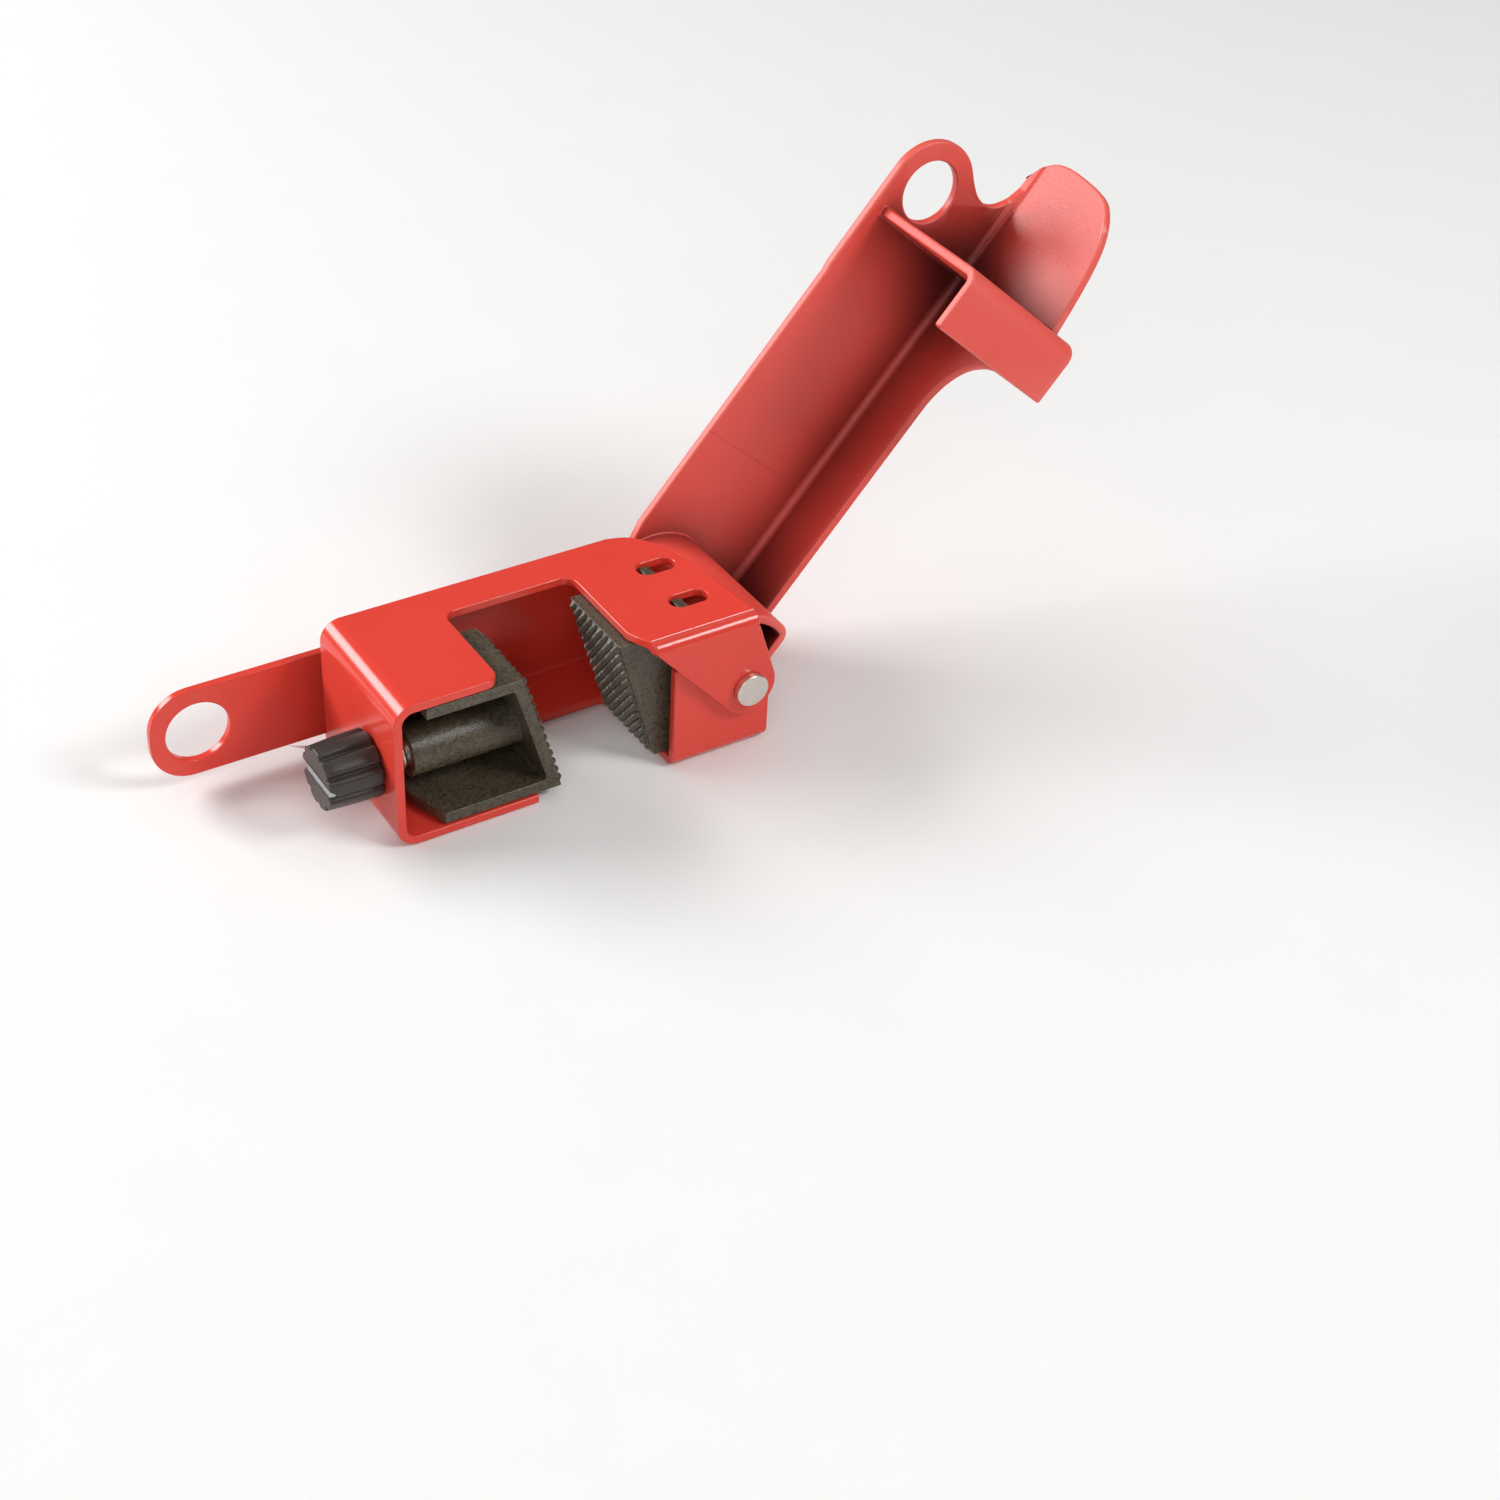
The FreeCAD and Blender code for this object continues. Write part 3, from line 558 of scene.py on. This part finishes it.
def swept(rings):  # closed outlines joined one after another
    n = len(rings[0])
    verts = [p for ring in rings for p in ring]
    last = (len(rings) - 1) * n
    faces = [list(range(n)), [last + n - 1 - i for i in range(n)]]
    for k in range(len(rings) - 1):
        faces += [[k * n + i, k * n + (i + 1) % n, (k + 1) * n + (i + 1) % n, (k + 1) * n + i]
                  for i in range(n)]
    return asObject("tool", verts, faces)


def coverShell():
    c = cover
    w, (yOut, yIn), roofZ, endX = c["wall"], c["back"], c["roofZ"], c["endX"]
    far = c["hookY"][1] - 2
    cx, cz = endX - c["cornerR"], roofZ - c["cornerR"]
    section = rounded([(yOut, roofZ - c["reach"]), (yOut, roofZ, c["shellR"]), (c["hookY"][1], roofZ),
                       (c["hookY"][1], roofZ - w), (yIn, roofZ - w, c["innerR"]), (yIn, roofZ - c["reach"])])
    rings = [[(c["tip"], y, z) for y, z in section]]
    turns = 16
    for k in range(turns + 1):
        t = pi / 2 * k / turns
        rings.append([(cx + (z - cz) * sin(t), y, cz + (z - cz) * cos(t)) for y, z in section])
    rings.append([(cx + z - cz, y, pin.z - c["hubR"]) for y, z in section])
    shell = swept(rings)
    # what is cut away from the roof, seen from above
    rise = smooth([(88.0, c["roofFront"]), (92.8, -18.4), (94.6, -19.8), (96.1, -22.4), (97.4, -26.0),
                   (98.6, -30.5), (99.7, -34.6), (100.7, -36.9), (endX + 0.2, c["hubFront"])])
    neck = smooth([(c["hookX"][1], -27.0), (20.9, -24.3), (23.2, -21.2), (27.0, -18.9),
                   (32.0, c["roofFront"] - 0.15), (37.0, c["roofFront"])])
    middle = prism(rise + [(endX + 3, c["hubFront"]), (endX + 3, far), (c["hookX"][1], far)] + neck, "z",
                   c["hubFlat"] + 1, roofZ + 1)
    thumb = smooth([(c["hookX"][0], -34.2), (1.0, -33.3), (-6.0, -32.0), (-11.0, -30.5), (-14.6, -28.6),
                    (-17.2, -26.4), (-18.8, -24.2), (-19.7, -21.0), (-20.2, -17.0), (-20.4, -12.0),
                    (-19.9, -8.6), (-18.8, -6.6), (-16.8, -4.9), (-14.4, -3.9), (-12.4, -3.2),
                    (-10.5, -2.4)])
    tip = prism(thumb + [(-10.5, 2.0), (-28.0, 2.0), (-28.0, far), (c["hookX"][0], far)], "z",
                c["hubFlat"] + 1, roofZ + 1)
    shell = cut(shell, middle, tip, box(c["hookX"][0], c["hookX"][1], far, -30, roofZ - w - 1, roofZ + 1),
                box(endX - 20, endX + 1, far, c["hubFront"], -30, roofZ + 1))
    # back wall with the lug
    a = radians(c["lugEnd"])
    r = c["lugR"]
    start = (r * cos(a), r * sin(a))
    lug = [(r * cos(t), r * sin(t)) for t in (-pi / 2 - (pi * 1.5 - a) * k / 40 for k in range(41))]
    flat = roofZ - c["reach"] + 0.5
    back = prism(lug + [(start[0], flat), (endX - 6.5, flat), (endX - 6.5, -7.4), (84.6, c["lowZ"]),
                        (24.0, c["lowZ"]), (22.6, -r + 0.15)], "y", yIn, yOut)
    bite = smooth([start, (-6.6, 8.6), (-5.2, 11.6), (-5.0, 14.6), (-6.2, 17.2), (-8.6, 19.1),
                   (-12.0, roofZ - w - 0.3)])
    notch = prism(bite + [(-30.0, roofZ - w - 0.3), (-30.0, start[1])], "y", -16, 5)
    # shroud: end wall and front panel beyond the screw
    x0, x1 = c["hookX"]

    def ring(z, front):
        line = rounded([(x0, yIn + 0.4), (x0, front, c["hookR"]), (x1, front), (x1, front + w),
                        (x0 + w, front + w, c["hookR"] - w), (x0 + w, yIn + 0.4)])
        return [(x, y, z) for x, y in line]

    sheet = loft(ring(bodyLow.z + 0.4, c["hookY"][0]), ring(roofZ - w + 0.02, c["hookY"][1]))
    low, r = bodyLow.z + 0.4, c["panelR"]             # the panel's free corner is rounded
    corner = cut(box(x1 - r, x1 + 1, far, c["hookY"][0] + w + 1, low - 1, low + r),
                 rod(r, "y", far - 1, c["hookY"][0] + w + 2, x1 - r, low + r))
    sheet = cut(sheet, corner, prism([(0, -7.2), (-45, -10.7), (-45, -20), (0, -20)], "x", x0 - 1, x1 + 1))
    over = prism([(x0, -28), (x0, c["hookY"][1], c["hookR"]), (x1, c["hookY"][1]), (x1, -28)], "z",
                 roofZ - w, roofZ)
    # hinge drum
    y0, front, hub = yIn + 0.4, c["hubFront"], c["hubR"]

    def drum(off):
        rr, xe, zt = hub - off, endX - off, c["hubFlat"] - off
        low = pin.z - sqrt(rr ** 2 - (xe - pin.x) ** 2)
        corner = pin.x - sqrt(rr ** 2 - (zt - pin.z) ** 2) - 0.4
        block = prism([(pin.x - hub - 1, low - 9), (xe, low - 9), (xe, zt),
                       (corner, zt, max(0.6, 3.0 - off)), (pin.x - hub - 1, low)],
                      "y", front - off * 0.5, y0)
        return common(rod(rr, "y", front - off, y0, pin.x, pin.z, 128), block)

    hull = cut(drum(0), drum(w))
    wallStrip = box(endX - w, endX, front, y0, pin.z - 4, roofZ - c["cornerR"] + 0.2)
    heel = common(box(pin.x, endX, front, y0, pin.z - hub, pin.z),
                  rod(hub, "y", front, y0, pin.x, pin.z, 128))
    heel = cut(heel, common(rod(hub - w, "y", front - 1, y0 + 1, pin.x, pin.z, 128),
                            box(pin.x - 1, endX - w, front - 1, y0 + 1, -20, pin.z + 1)))
    lid = box(pin.x, endX, front, y0, c["hubFlat"] - w, c["hubFlat"])
    disc = common(rod(hub, "y", yIn, yOut, pin.x, pin.z, 128), box(70, endX, yIn, yOut, -20, roofZ - 5))
    boss = rod(c["bossR"], "y", front, yOut, pin.x, pin.z, 64)
    whole = join(shell, back, over, sheet, hull, wallStrip, heel, lid, disc, boss)
    below = cut(box(pin.x - 1, endX + 1, far, 1, -20, pin.z), rod(hub, "y", far - 1, 2, pin.x, pin.z, 128))
    whole = cut(whole, notch, below, rod(rivetR + c["clear"], "y", far, 1, pin.x, pin.z, 64),
                rod(c["holeR"], "y", yIn - 2, 1, 0, 0))
    swing = Matrix.Translation(pin) @ openTurn @ Matrix.Translation(-pin)
    return finished(whole, "coverShell", moulded, c["edge"], 3, 34, swing)


shell = coverShell()
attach(shell, "cover")
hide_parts("cover")
print("cover ready")


class Recipe(Finish):  # a geometry tree with named inputs, run on one object
    def __init__(self, name, inputs):
        self.tree = bpy.data.node_groups.new(name, "GeometryNodeTree")
        self.inputs = inputs
        sides = self.tree.interface
        sides.new_socket("Geometry", in_out="INPUT", socket_type="NodeSocketGeometry")
        for label, (kind, value) in inputs.items():
            sides.new_socket(label, in_out="INPUT", socket_type="NodeSocket" + kind)
        sides.new_socket("Geometry", in_out="OUTPUT", socket_type="NodeSocketGeometry")
        self.start = self.tree.nodes.new("NodeGroupInput")
        self.end = self.tree.nodes.new("NodeGroupOutput")

    def given(self, label):
        return Wire(self, self.start.outputs[label])

    def together(self, *parts):
        joined = self.tree.nodes.new("GeometryNodeJoinGeometry")
        for part in parts:
            self.tree.links.new(part.socket, joined.inputs[0])
        return Wire(self, joined.outputs[0])

    def run(self, piece, result, material):
        painted = self.node("GeometryNodeSetMaterial", {}, {"Geometry": result, "Material": material})
        self.tree.links.new(painted.socket, self.end.inputs["Geometry"])
        m = piece.modifiers.new(self.tree.name, "NODES")
        m.node_group = self.tree
        for item in self.tree.interface.items_tree:
            if item.in_out == "INPUT" and item.name in self.inputs:
                m[item.identifier] = self.inputs[item.name][1]
        return baked(piece)


tooth = {"rows": 13, "columns": 9, "tall": 0.85, "tip": 0.20, "base": 0.54, "sides": 6, "spread": 0.12,
         "margin": 2.9, "seed": 7}


def withTeeth(piece, centre, size, turn, material):
    # staggered rows of blunt pyramids over the slanted face; everything in metres by now
    across, up = size[0] / (tooth["columns"] - 1), size[1] / (tooth["rows"] - 1)
    f = Recipe("toothField", {"Rows": ("Int", tooth["rows"]), "Columns": ("Int", tooth["columns"]),
                              "Across": ("Float", across * mm), "Up": ("Float", up * mm),
                              "Tall": ("Float", tooth["tall"] * mm), "Seed": ("Int", tooth["seed"])})
    across, up, columns, rows = (f.given(label) for label in ("Across", "Up", "Columns", "Rows"))
    grids = []
    for k in (0, 1):                                  # the second grid sits between the first one's rows
        grids.append(f.node("GeometryNodeMeshGrid", {}, {"Size X": across * (columns - 1 - k),
                                                         "Size Y": up * (rows - 1 - k),
                                                         "Vertices X": columns - k, "Vertices Y": rows - k}))
    cone = f.node("GeometryNodeMeshCone", {}, {"Vertices": tooth["sides"], "Side Segments": 3,
                                               "Radius Top": across * tooth["tip"],
                                               "Radius Bottom": across * tooth["base"],
                                               "Depth": f.given("Tall")})
    longer = up / across
    jitter = f.node("FunctionNodeRandomValue", {"data_type": "FLOAT"},
                    {2: 1.0 - tooth["spread"], 3: 1.0 + tooth["spread"], "Seed": f.given("Seed")}, 1)
    scale = f.node("ShaderNodeCombineXYZ", {}, {"X": 1.0, "Y": longer, "Z": jitter})
    placed = f.node("GeometryNodeInstanceOnPoints", {}, {"Points": f.together(*grids), "Instance": cone,
                                                         "Scale": scale})
    real = f.node("GeometryNodeRealizeInstances", {}, {"Geometry": placed})
    laid = f.node("GeometryNodeTransform", {}, {"Geometry": real, "Translation": centre * mm,
                                                "Rotation": turn.to_euler()})
    return f.run(piece, f.together(laid, f.given("Geometry")), material)


jaw = {"y": (-17.8, -36.9), "lean": 0.29, "slideTop": 50.6, "fixedTop": 69.0, "wall": 2.4, "clear": 0.35,
       "backX": 30.3, "bossR": 5.0, "bossX": 29.9, "boreDeep": 52.0, "boreGap": 0.05, "ribHalf": 1.1,
       "cornerR": 0.8, "slantX": 3.4, "slantY": 9.0, "seatGap": 0.05, "tabIn": 1.1, "tabLong": 2.1,
       "tabSide": 0.35, "tabLow": 0.6, "drumGap": 0.5, "edge": 0.28}
jawTop = bodyHigh.z - steel["sheet"]
jawBase = bodyLow.z + steel["sheet"]


def faceX(topX, z):  # both faces lean the same way
    return topX + (jawTop - z) * jaw["lean"]


def toothedFace(piece, topX, z0, z1, side):
    # the field's rows run up the leaning face, its columns across the depth
    up = Vector((-jaw["lean"], 0, 1)).normalized()
    across = Vector((0, 1, 0))
    out = (across.cross(up) if side > 0 else up.cross(across))
    across = up.cross(out)
    turn = Matrix((across, up, out)).transposed()
    middleZ, middleY = (z0 + z1) / 2, sum(jaw["y"]) / 2
    tall = (z1 - z0) * hypot(1, jaw["lean"])
    centre = Vector((faceX(topX, middleZ), middleY, middleZ)) - out * tooth["tall"]
    field = (jaw["y"][0] - jaw["y"][1] - tooth["margin"], tall - tooth["margin"])
    return withTeeth(piece, centre, field, turn, filled)


def slidingJaw():
    j = jaw
    z1, z0 = jawTop - j["clear"], jawBase + j["clear"]
    y1, y0 = j["y"]
    w, deep = j["wall"], tooth["tall"]
    xt, xb = faceX(j["slideTop"], z1) - deep, faceX(j["slideTop"], z0) - deep
    frameBlock = prism([(j["backX"], z0), (xb, z0), (xt, z1), (j["backX"], z1)], "y", y0, y1)
    hollow = prism([(j["backX"] - 1, z0 + w), (xb - w - j["lean"] * w, z0 + w, j["cornerR"]),
                    (xt - w + j["lean"] * w, z1 - w, j["cornerR"]), (j["backX"] - 1, z1 - w)],
                   "y", y0 - 1, y1 - w)
    frameBlock = cut(frameBlock, hollow)
    # the lower wall's free edge slants back from the front
    slant = prism([(j["backX"] - 1, y0 - 1), (j["backX"] + j["slantX"], y0 - 1),
                   (j["backX"], y0 + j["slantY"]), (j["backX"] - 1, y0 + j["slantY"])],
                  "z", z0 - 1, z0 + w + 0.5)
    frameBlock = cut(frameBlock, slant)
    sy, sz = screwAxis
    end = faceX(j["slideTop"], sz) - deep - 0.5
    boss = rod(j["bossR"], "x", j["bossX"], end, sy, sz)
    rib = box(j["bossX"], end, sy, y1 - w + 0.3, sz - j["ribHalf"], sz + j["ribHalf"])
    whole = join(frameBlock, boss, rib)
    whole = cut(whole, rod(screwR + j["boreGap"], "x", j["bossX"] - 1, j["boreDeep"], sy, sz))
    made = finished(whole, "slidingJaw", filled, j["edge"], 3, 34)
    return toothedFace(made, j["slideTop"], z0, z1, 1)


def fixedJaw():
    j = jaw
    z1, z0 = jawTop - j["seatGap"], jawBase + j["seatGap"]
    y1, y0 = j["y"]
    deep = tooth["tall"]
    xt, xb = faceX(j["fixedTop"], z1) + deep, faceX(j["fixedTop"], z0) + deep
    x0 = steel["slotX"] - steel["slotLong"] / 2 + j["tabIn"]
    tail = x0 + j["tabLong"]
    block = prism([(xb, z0), (tail, z0), (tail, z1), (xt, z1)], "y", y0, y1)
    block = cut(block, rod(cover["hubR"] + j["drumGap"], "y", y0 - 5, 0, pin.x, pin.z, 128),
                box(steel["lowNotch"][1] + 1.4, tail + 1, y0 - 5, y1 + 5, z0 - 1, pin.z - 2))
    half = steel["slotWide"] / 2 - j["tabSide"]
    tabs = [box(x0, tail, y - half, y + half, z1 - 2, bodyHigh.z - j["tabLow"]) for y in steel["slotY"]]
    made = finished(join(block, *tabs), "fixedJaw", filled, j["edge"], 3, 34)
    return toothedFace(made, j["fixedTop"], z0, z1, -1)


slider = slidingJaw()
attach(slider, "slider")
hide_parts("sliding_jaw")
anvil = fixedJaw()
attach(anvil, "frame")
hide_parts("fixed_jaw")
print("jaws ready")


knob = {"r": 6.7, "flutes": 9, "deep": 0.85, "narrow": 6.0, "taper": 0.07, "slotWide": 1.05, "slotDeep": 1.3,
        "sides": 270, "edge": 0.3}


def thumbKnob():
    k = knob
    long = knobHigh.x - knobLow.x
    blank = asObject("thumbKnob", [(0, 0, 0)], [])
    f = Recipe("flutedKnob", {"Radius": ("Float", k["r"]), "Length": ("Float", long),
                              "Flutes": ("Int", k["flutes"]), "Depth": ("Float", k["deep"]),
                              "Taper": ("Float", k["taper"])})
    drum = f.node("GeometryNodeMeshCylinder", {}, {"Vertices": k["sides"], "Side Segments": 10,
                                                   "Radius": f.given("Radius"), "Depth": f.given("Length")})
    spot = f.node("GeometryNodeInputPosition")
    parts = f.node("ShaderNodeSeparateXYZ", {}, {"Vector": spot})
    x, y, z = (Wire(f, parts.socket.node.outputs[i]) for i in range(3))
    angle = y.maths("ARCTAN2", y, x)
    wave = angle.maths("COSINE", angle * f.given("Flutes"))
    groove = (wave * 0.5 + 0.5) ** k["narrow"]
    slim = 1.0 - f.given("Taper") * (0.5 - z / f.given("Length")) ** 1.6
    shrink = slim - groove * (f.given("Depth") / f.given("Radius")) - 1.0
    flat = f.node("ShaderNodeCombineXYZ", {}, {"X": x, "Y": y, "Z": 0.0})
    shift = f.node("ShaderNodeVectorMath", {"operation": "SCALE"}, {0: flat, "Scale": shrink})
    shaped = f.node("GeometryNodeSetPosition", {}, {"Geometry": drum, "Offset": shift})
    sy, sz = screwAxis
    laid = f.node("GeometryNodeTransform", {}, {"Geometry": shaped, "Rotation": (0.0, pi / 2, 0.0),
                                                "Translation": ((knobLow.x + knobHigh.x) / 2, sy, sz)})
    made = f.run(blank, laid, black)
    vee = prism([(knobLow.x - 0.1, sz - k["slotWide"]), (knobLow.x - 0.1, sz + k["slotWide"]),
                 (knobLow.x + k["slotDeep"], sz)], "y", sy - k["r"] - 1, sy + k["r"] + 1)
    return finished(cut(made, vee), "thumbKnob", black, k["edge"], 3, 50)


thread = {"root": 2.6, "pitch": 1.27, "start": 27.65, "left": True, "perTurn": 40, "foot": 0.45,
          "crest": 0.25, "runIn": 0.6, "runOut": 0.3}


def thumbScrew():
    sy, sz = screwAxis
    core = join(rod(thread["root"], "x", screwLow.x, screwHigh.x, sy, sz, 64),
                rod(screwR, "x", knobHigh.x, thread["start"], sy, sz, 64))
    groove = cut(rod(screwR + 1, "x", ringLow.x - 0.05, ringHigh.x + 0.05, sy, sz, 64),
                 rod(thread["root"], "x", ringLow.x - 1, ringHigh.x + 1, sy, sz, 64))
    made = finished(cut(core, groove), "thumbScrew", plated, 0.12, 2, 40)
    turns = (screwHigh.x - thread["start"] - thread["runOut"]) / thread["pitch"] - thread["runIn"]
    f = Recipe("screwThread", {"Turns": ("Float", turns), "Pitch": ("Float", thread["pitch"] * mm),
                               "Radius": ("Float", screwR * mm),
                               "Steps": ("Int", int(thread["perTurn"] * turns))})
    deep = (screwR - thread["root"]) * mm
    path = f.node("GeometryNodeCurveSpiral", {}, {"Resolution": f.given("Steps"),
                                                  "Rotations": f.given("Turns"),
                                                  "Start Radius": f.given("Radius") - deep,
                                                  "End Radius": f.given("Radius") - deep,
                                                  "Height": f.given("Pitch") * f.given("Turns"),
                                                  "Reverse": thread["left"]})
    wide = thread["pitch"] * thread["foot"] * mm
    narrow = wide * thread["crest"]
    ridge = f.node("GeometryNodeCurvePrimitiveQuadrilateral", {"mode": "POINTS"},
                   {"Point 1": (-wide, 0.0, 0.0), "Point 2": (wide, 0.0, 0.0),
                    "Point 3": (narrow, deep, 0.0), "Point 4": (-narrow, deep, 0.0)})
    coil = f.node("GeometryNodeCurveToMesh", {}, {"Curve": path, "Profile Curve": ridge, "Fill Caps": True})
    spot = tuple(v * mm for v in (thread["start"] + thread["runIn"], sy, sz))
    laid = f.node("GeometryNodeTransform", {}, {"Geometry": coil, "Rotation": (0.0, pi / 2, 0.0),
                                                "Translation": spot})
    return f.run(made, f.together(laid, f.given("Geometry")), plated)


ringLow, ringHigh = cadBox("retaining_ring")
clip = {"r": 4.9, "bore": 2.6, "mouth": 0.86, "hole": 0.9, "holeOut": 3.3, "holeUp": 1.6}


def retainingRing():
    sy, sz = screwAxis
    c = clip
    a, b = ringLow.x - 1, ringHigh.x + 1
    half = c["bore"] * c["mouth"]
    made = cut(rod(c["r"], "x", ringLow.x, ringHigh.x, sy, sz), rod(c["bore"], "x", a, b, sy, sz),
               box(a, b, sy - half, sy + half, sz - c["r"] - 1, sz),
               *[rod(c["hole"], "x", a, b, sy + k * c["holeOut"], sz + c["holeUp"], 32) for k in (-1, 1)])
    return finished(made, "retainingRing", plated, 0.12, 2, 40)


rivet = {"headR": 3.4, "headTall": 1.7, "tailR": 2.85, "boreR": 1.5, "boreDeep": 5.0, "edge": 0.34}


def hingeRivet():
    r = rivet
    made = join(rod(rivetR, "y", rivetLow.y + 1, rivetHigh.y - 0.2, pin.x, pin.z),
                rod(r["headR"], "y", rivetLow.y, rivetLow.y + r["headTall"], pin.x, pin.z),
                rod(r["tailR"], "y", 0, rivetHigh.y, pin.x, pin.z))
    made = cut(made, rod(r["boreR"], "y", rivetHigh.y - r["boreDeep"], rivetHigh.y + 1, pin.x, pin.z, 64))
    return finished(made, "hingeRivet", plated, r["edge"], 4, 40)


for piece, owner, node, finishSlot in ((thumbKnob(), "screw", "thumb_knob", "black_polymer"),
                                       (thumbScrew(), "screw", "thumb_screw", "plated_steel"),
                                       (retainingRing(), "screw", "retaining_ring", "plated_steel"),
                                       (hingeRivet(), "frame", "hinge_rivet", "plated_steel")):
    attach(piece, owner)
    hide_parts(node)
print("screw and rivet ready")


view = {"azimuth": -33.67, "elevation": 37.34, "roll": 3.025, "slide": (-22.22, 34.25), "away": 525.8,
        "lens": 63.2, "scale": 1.0115, "aim": (95.5, 0.0, 3.1)}


def makeCamera():
    a, e, roll = (radians(view[k]) for k in ("azimuth", "elevation", "roll"))
    back = Vector((sin(a) * cos(e), -cos(a) * cos(e), sin(e)))
    flat = Vector((cos(a), sin(a), 0))
    steep = back.cross(flat)
    right = flat * cos(roll) + steep * sin(roll)
    up = steep * cos(roll) - flat * sin(roll)
    spot = (back * view["away"] - right * view["slide"][0] - up * view["slide"][1]) * view["scale"]
    data = bpy.data.cameras.new("camera")
    data.lens = view["lens"]
    data.sensor_width = 36.0
    data.clip_start, data.clip_end = 0.02, 20.0
    camera = bpy.data.objects.new("camera", data)
    scene.collection.objects.link(camera)
    place = Matrix((right, up, back)).transposed().to_4x4()
    place.translation = (spot + Vector(view["aim"])) * mm
    camera.matrix_world = place
    scene.camera = camera


makeCamera()

lamps = {"backLeft": {"from": (-0.62, 0.64, 0.46), "away": 1.3, "size": (0.95, 0.50), "power": 17.5},
         "frontRight": {"from": (0.46, -0.60, 0.66), "away": 1.3, "size": (0.46, 0.36), "power": 8.6},
         "frontLeft": {"from": (-0.55, -0.75, 0.55), "away": 1.4, "size": (0.90, 0.90), "power": 4.6},
         "above": {"from": (0.10, 0.10, 1.0), "away": 1.3, "size": (1.20, 1.20), "power": 3.0}}


def makeLamp(name, lamp):
    middle = (cadLow + cadHigh) / 2
    way = Vector(lamp["from"]).normalized()
    data = bpy.data.lights.new(name, "AREA")
    data.shape = "RECTANGLE"
    data.size, data.size_y = lamp["size"]
    data.energy = lamp["power"]
    made = bpy.data.objects.new(name, data)
    scene.collection.objects.link(made)
    made.location = middle + way * lamp["away"]
    made.rotation_mode = "QUATERNION"
    made.rotation_quaternion = way.to_track_quat("Z", "Y")


for name, lamp in lamps.items():
    makeLamp(name, lamp)

room = {"floor": tone(0.925, 0.925, 0.92), "patch": tone(0.918, 0.918, 0.913), "light": 0.15, "seen": 0.985,
        "half": 1.6, "drop": 0.0002}


class Backdrop(Finish):  # the world's own tree
    def __init__(self, name):
        scene.world = bpy.data.worlds.new(name)
        scene.world.use_nodes = True
        self.tree = scene.world.node_tree
        self.tree.nodes.clear()
        self.end = self.tree.nodes.new("ShaderNodeOutputWorld")


def makeWorld():  # white where it is looked at, dim as a light
    f = Backdrop("room")
    rays = [f.node("ShaderNodeLightPath", {}, {}, kind) for kind in ("Is Camera Ray", "Is Transmission Ray")]
    seen = rays[0].maths("MAXIMUM", *rays)
    strength = f.node("ShaderNodeMix", {}, {0: seen, 2: room["light"], 3: room["seen"]})
    sky = f.node("ShaderNodeBackground", {}, {"Color": (1.0, 1.0, 1.0, 1.0), "Strength": strength})
    f.tree.links.new(sky.socket, f.end.inputs["Surface"])


def makeFloor():
    half = room["half"]
    level = cadLow.z - room["drop"]
    middle = (cadLow + cadHigh) / 2
    mesh = bpy.data.meshes.new("floor")
    mesh.from_pydata([(middle.x + x * half, middle.y + y * half, level)
                      for x, y in ((-1, -1), (1, -1), (1, 1), (-1, 1))], [], [(0, 1, 2, 3)])
    floor = bpy.data.objects.new("floor", mesh)
    scene.collection.objects.link(floor)
    f = Finish("paleFloor")
    grain = f.noise(60.0, 2.0)
    f.shader({"Base Color": f.mixed(grain, room["patch"], room["floor"]), "Roughness": 0.85,
              "Specular IOR Level": 0.2})
    mesh.materials.append(f.material)


makeWorld()
makeFloor()
scene.view_settings.view_transform = "Standard"
print("stage ready")
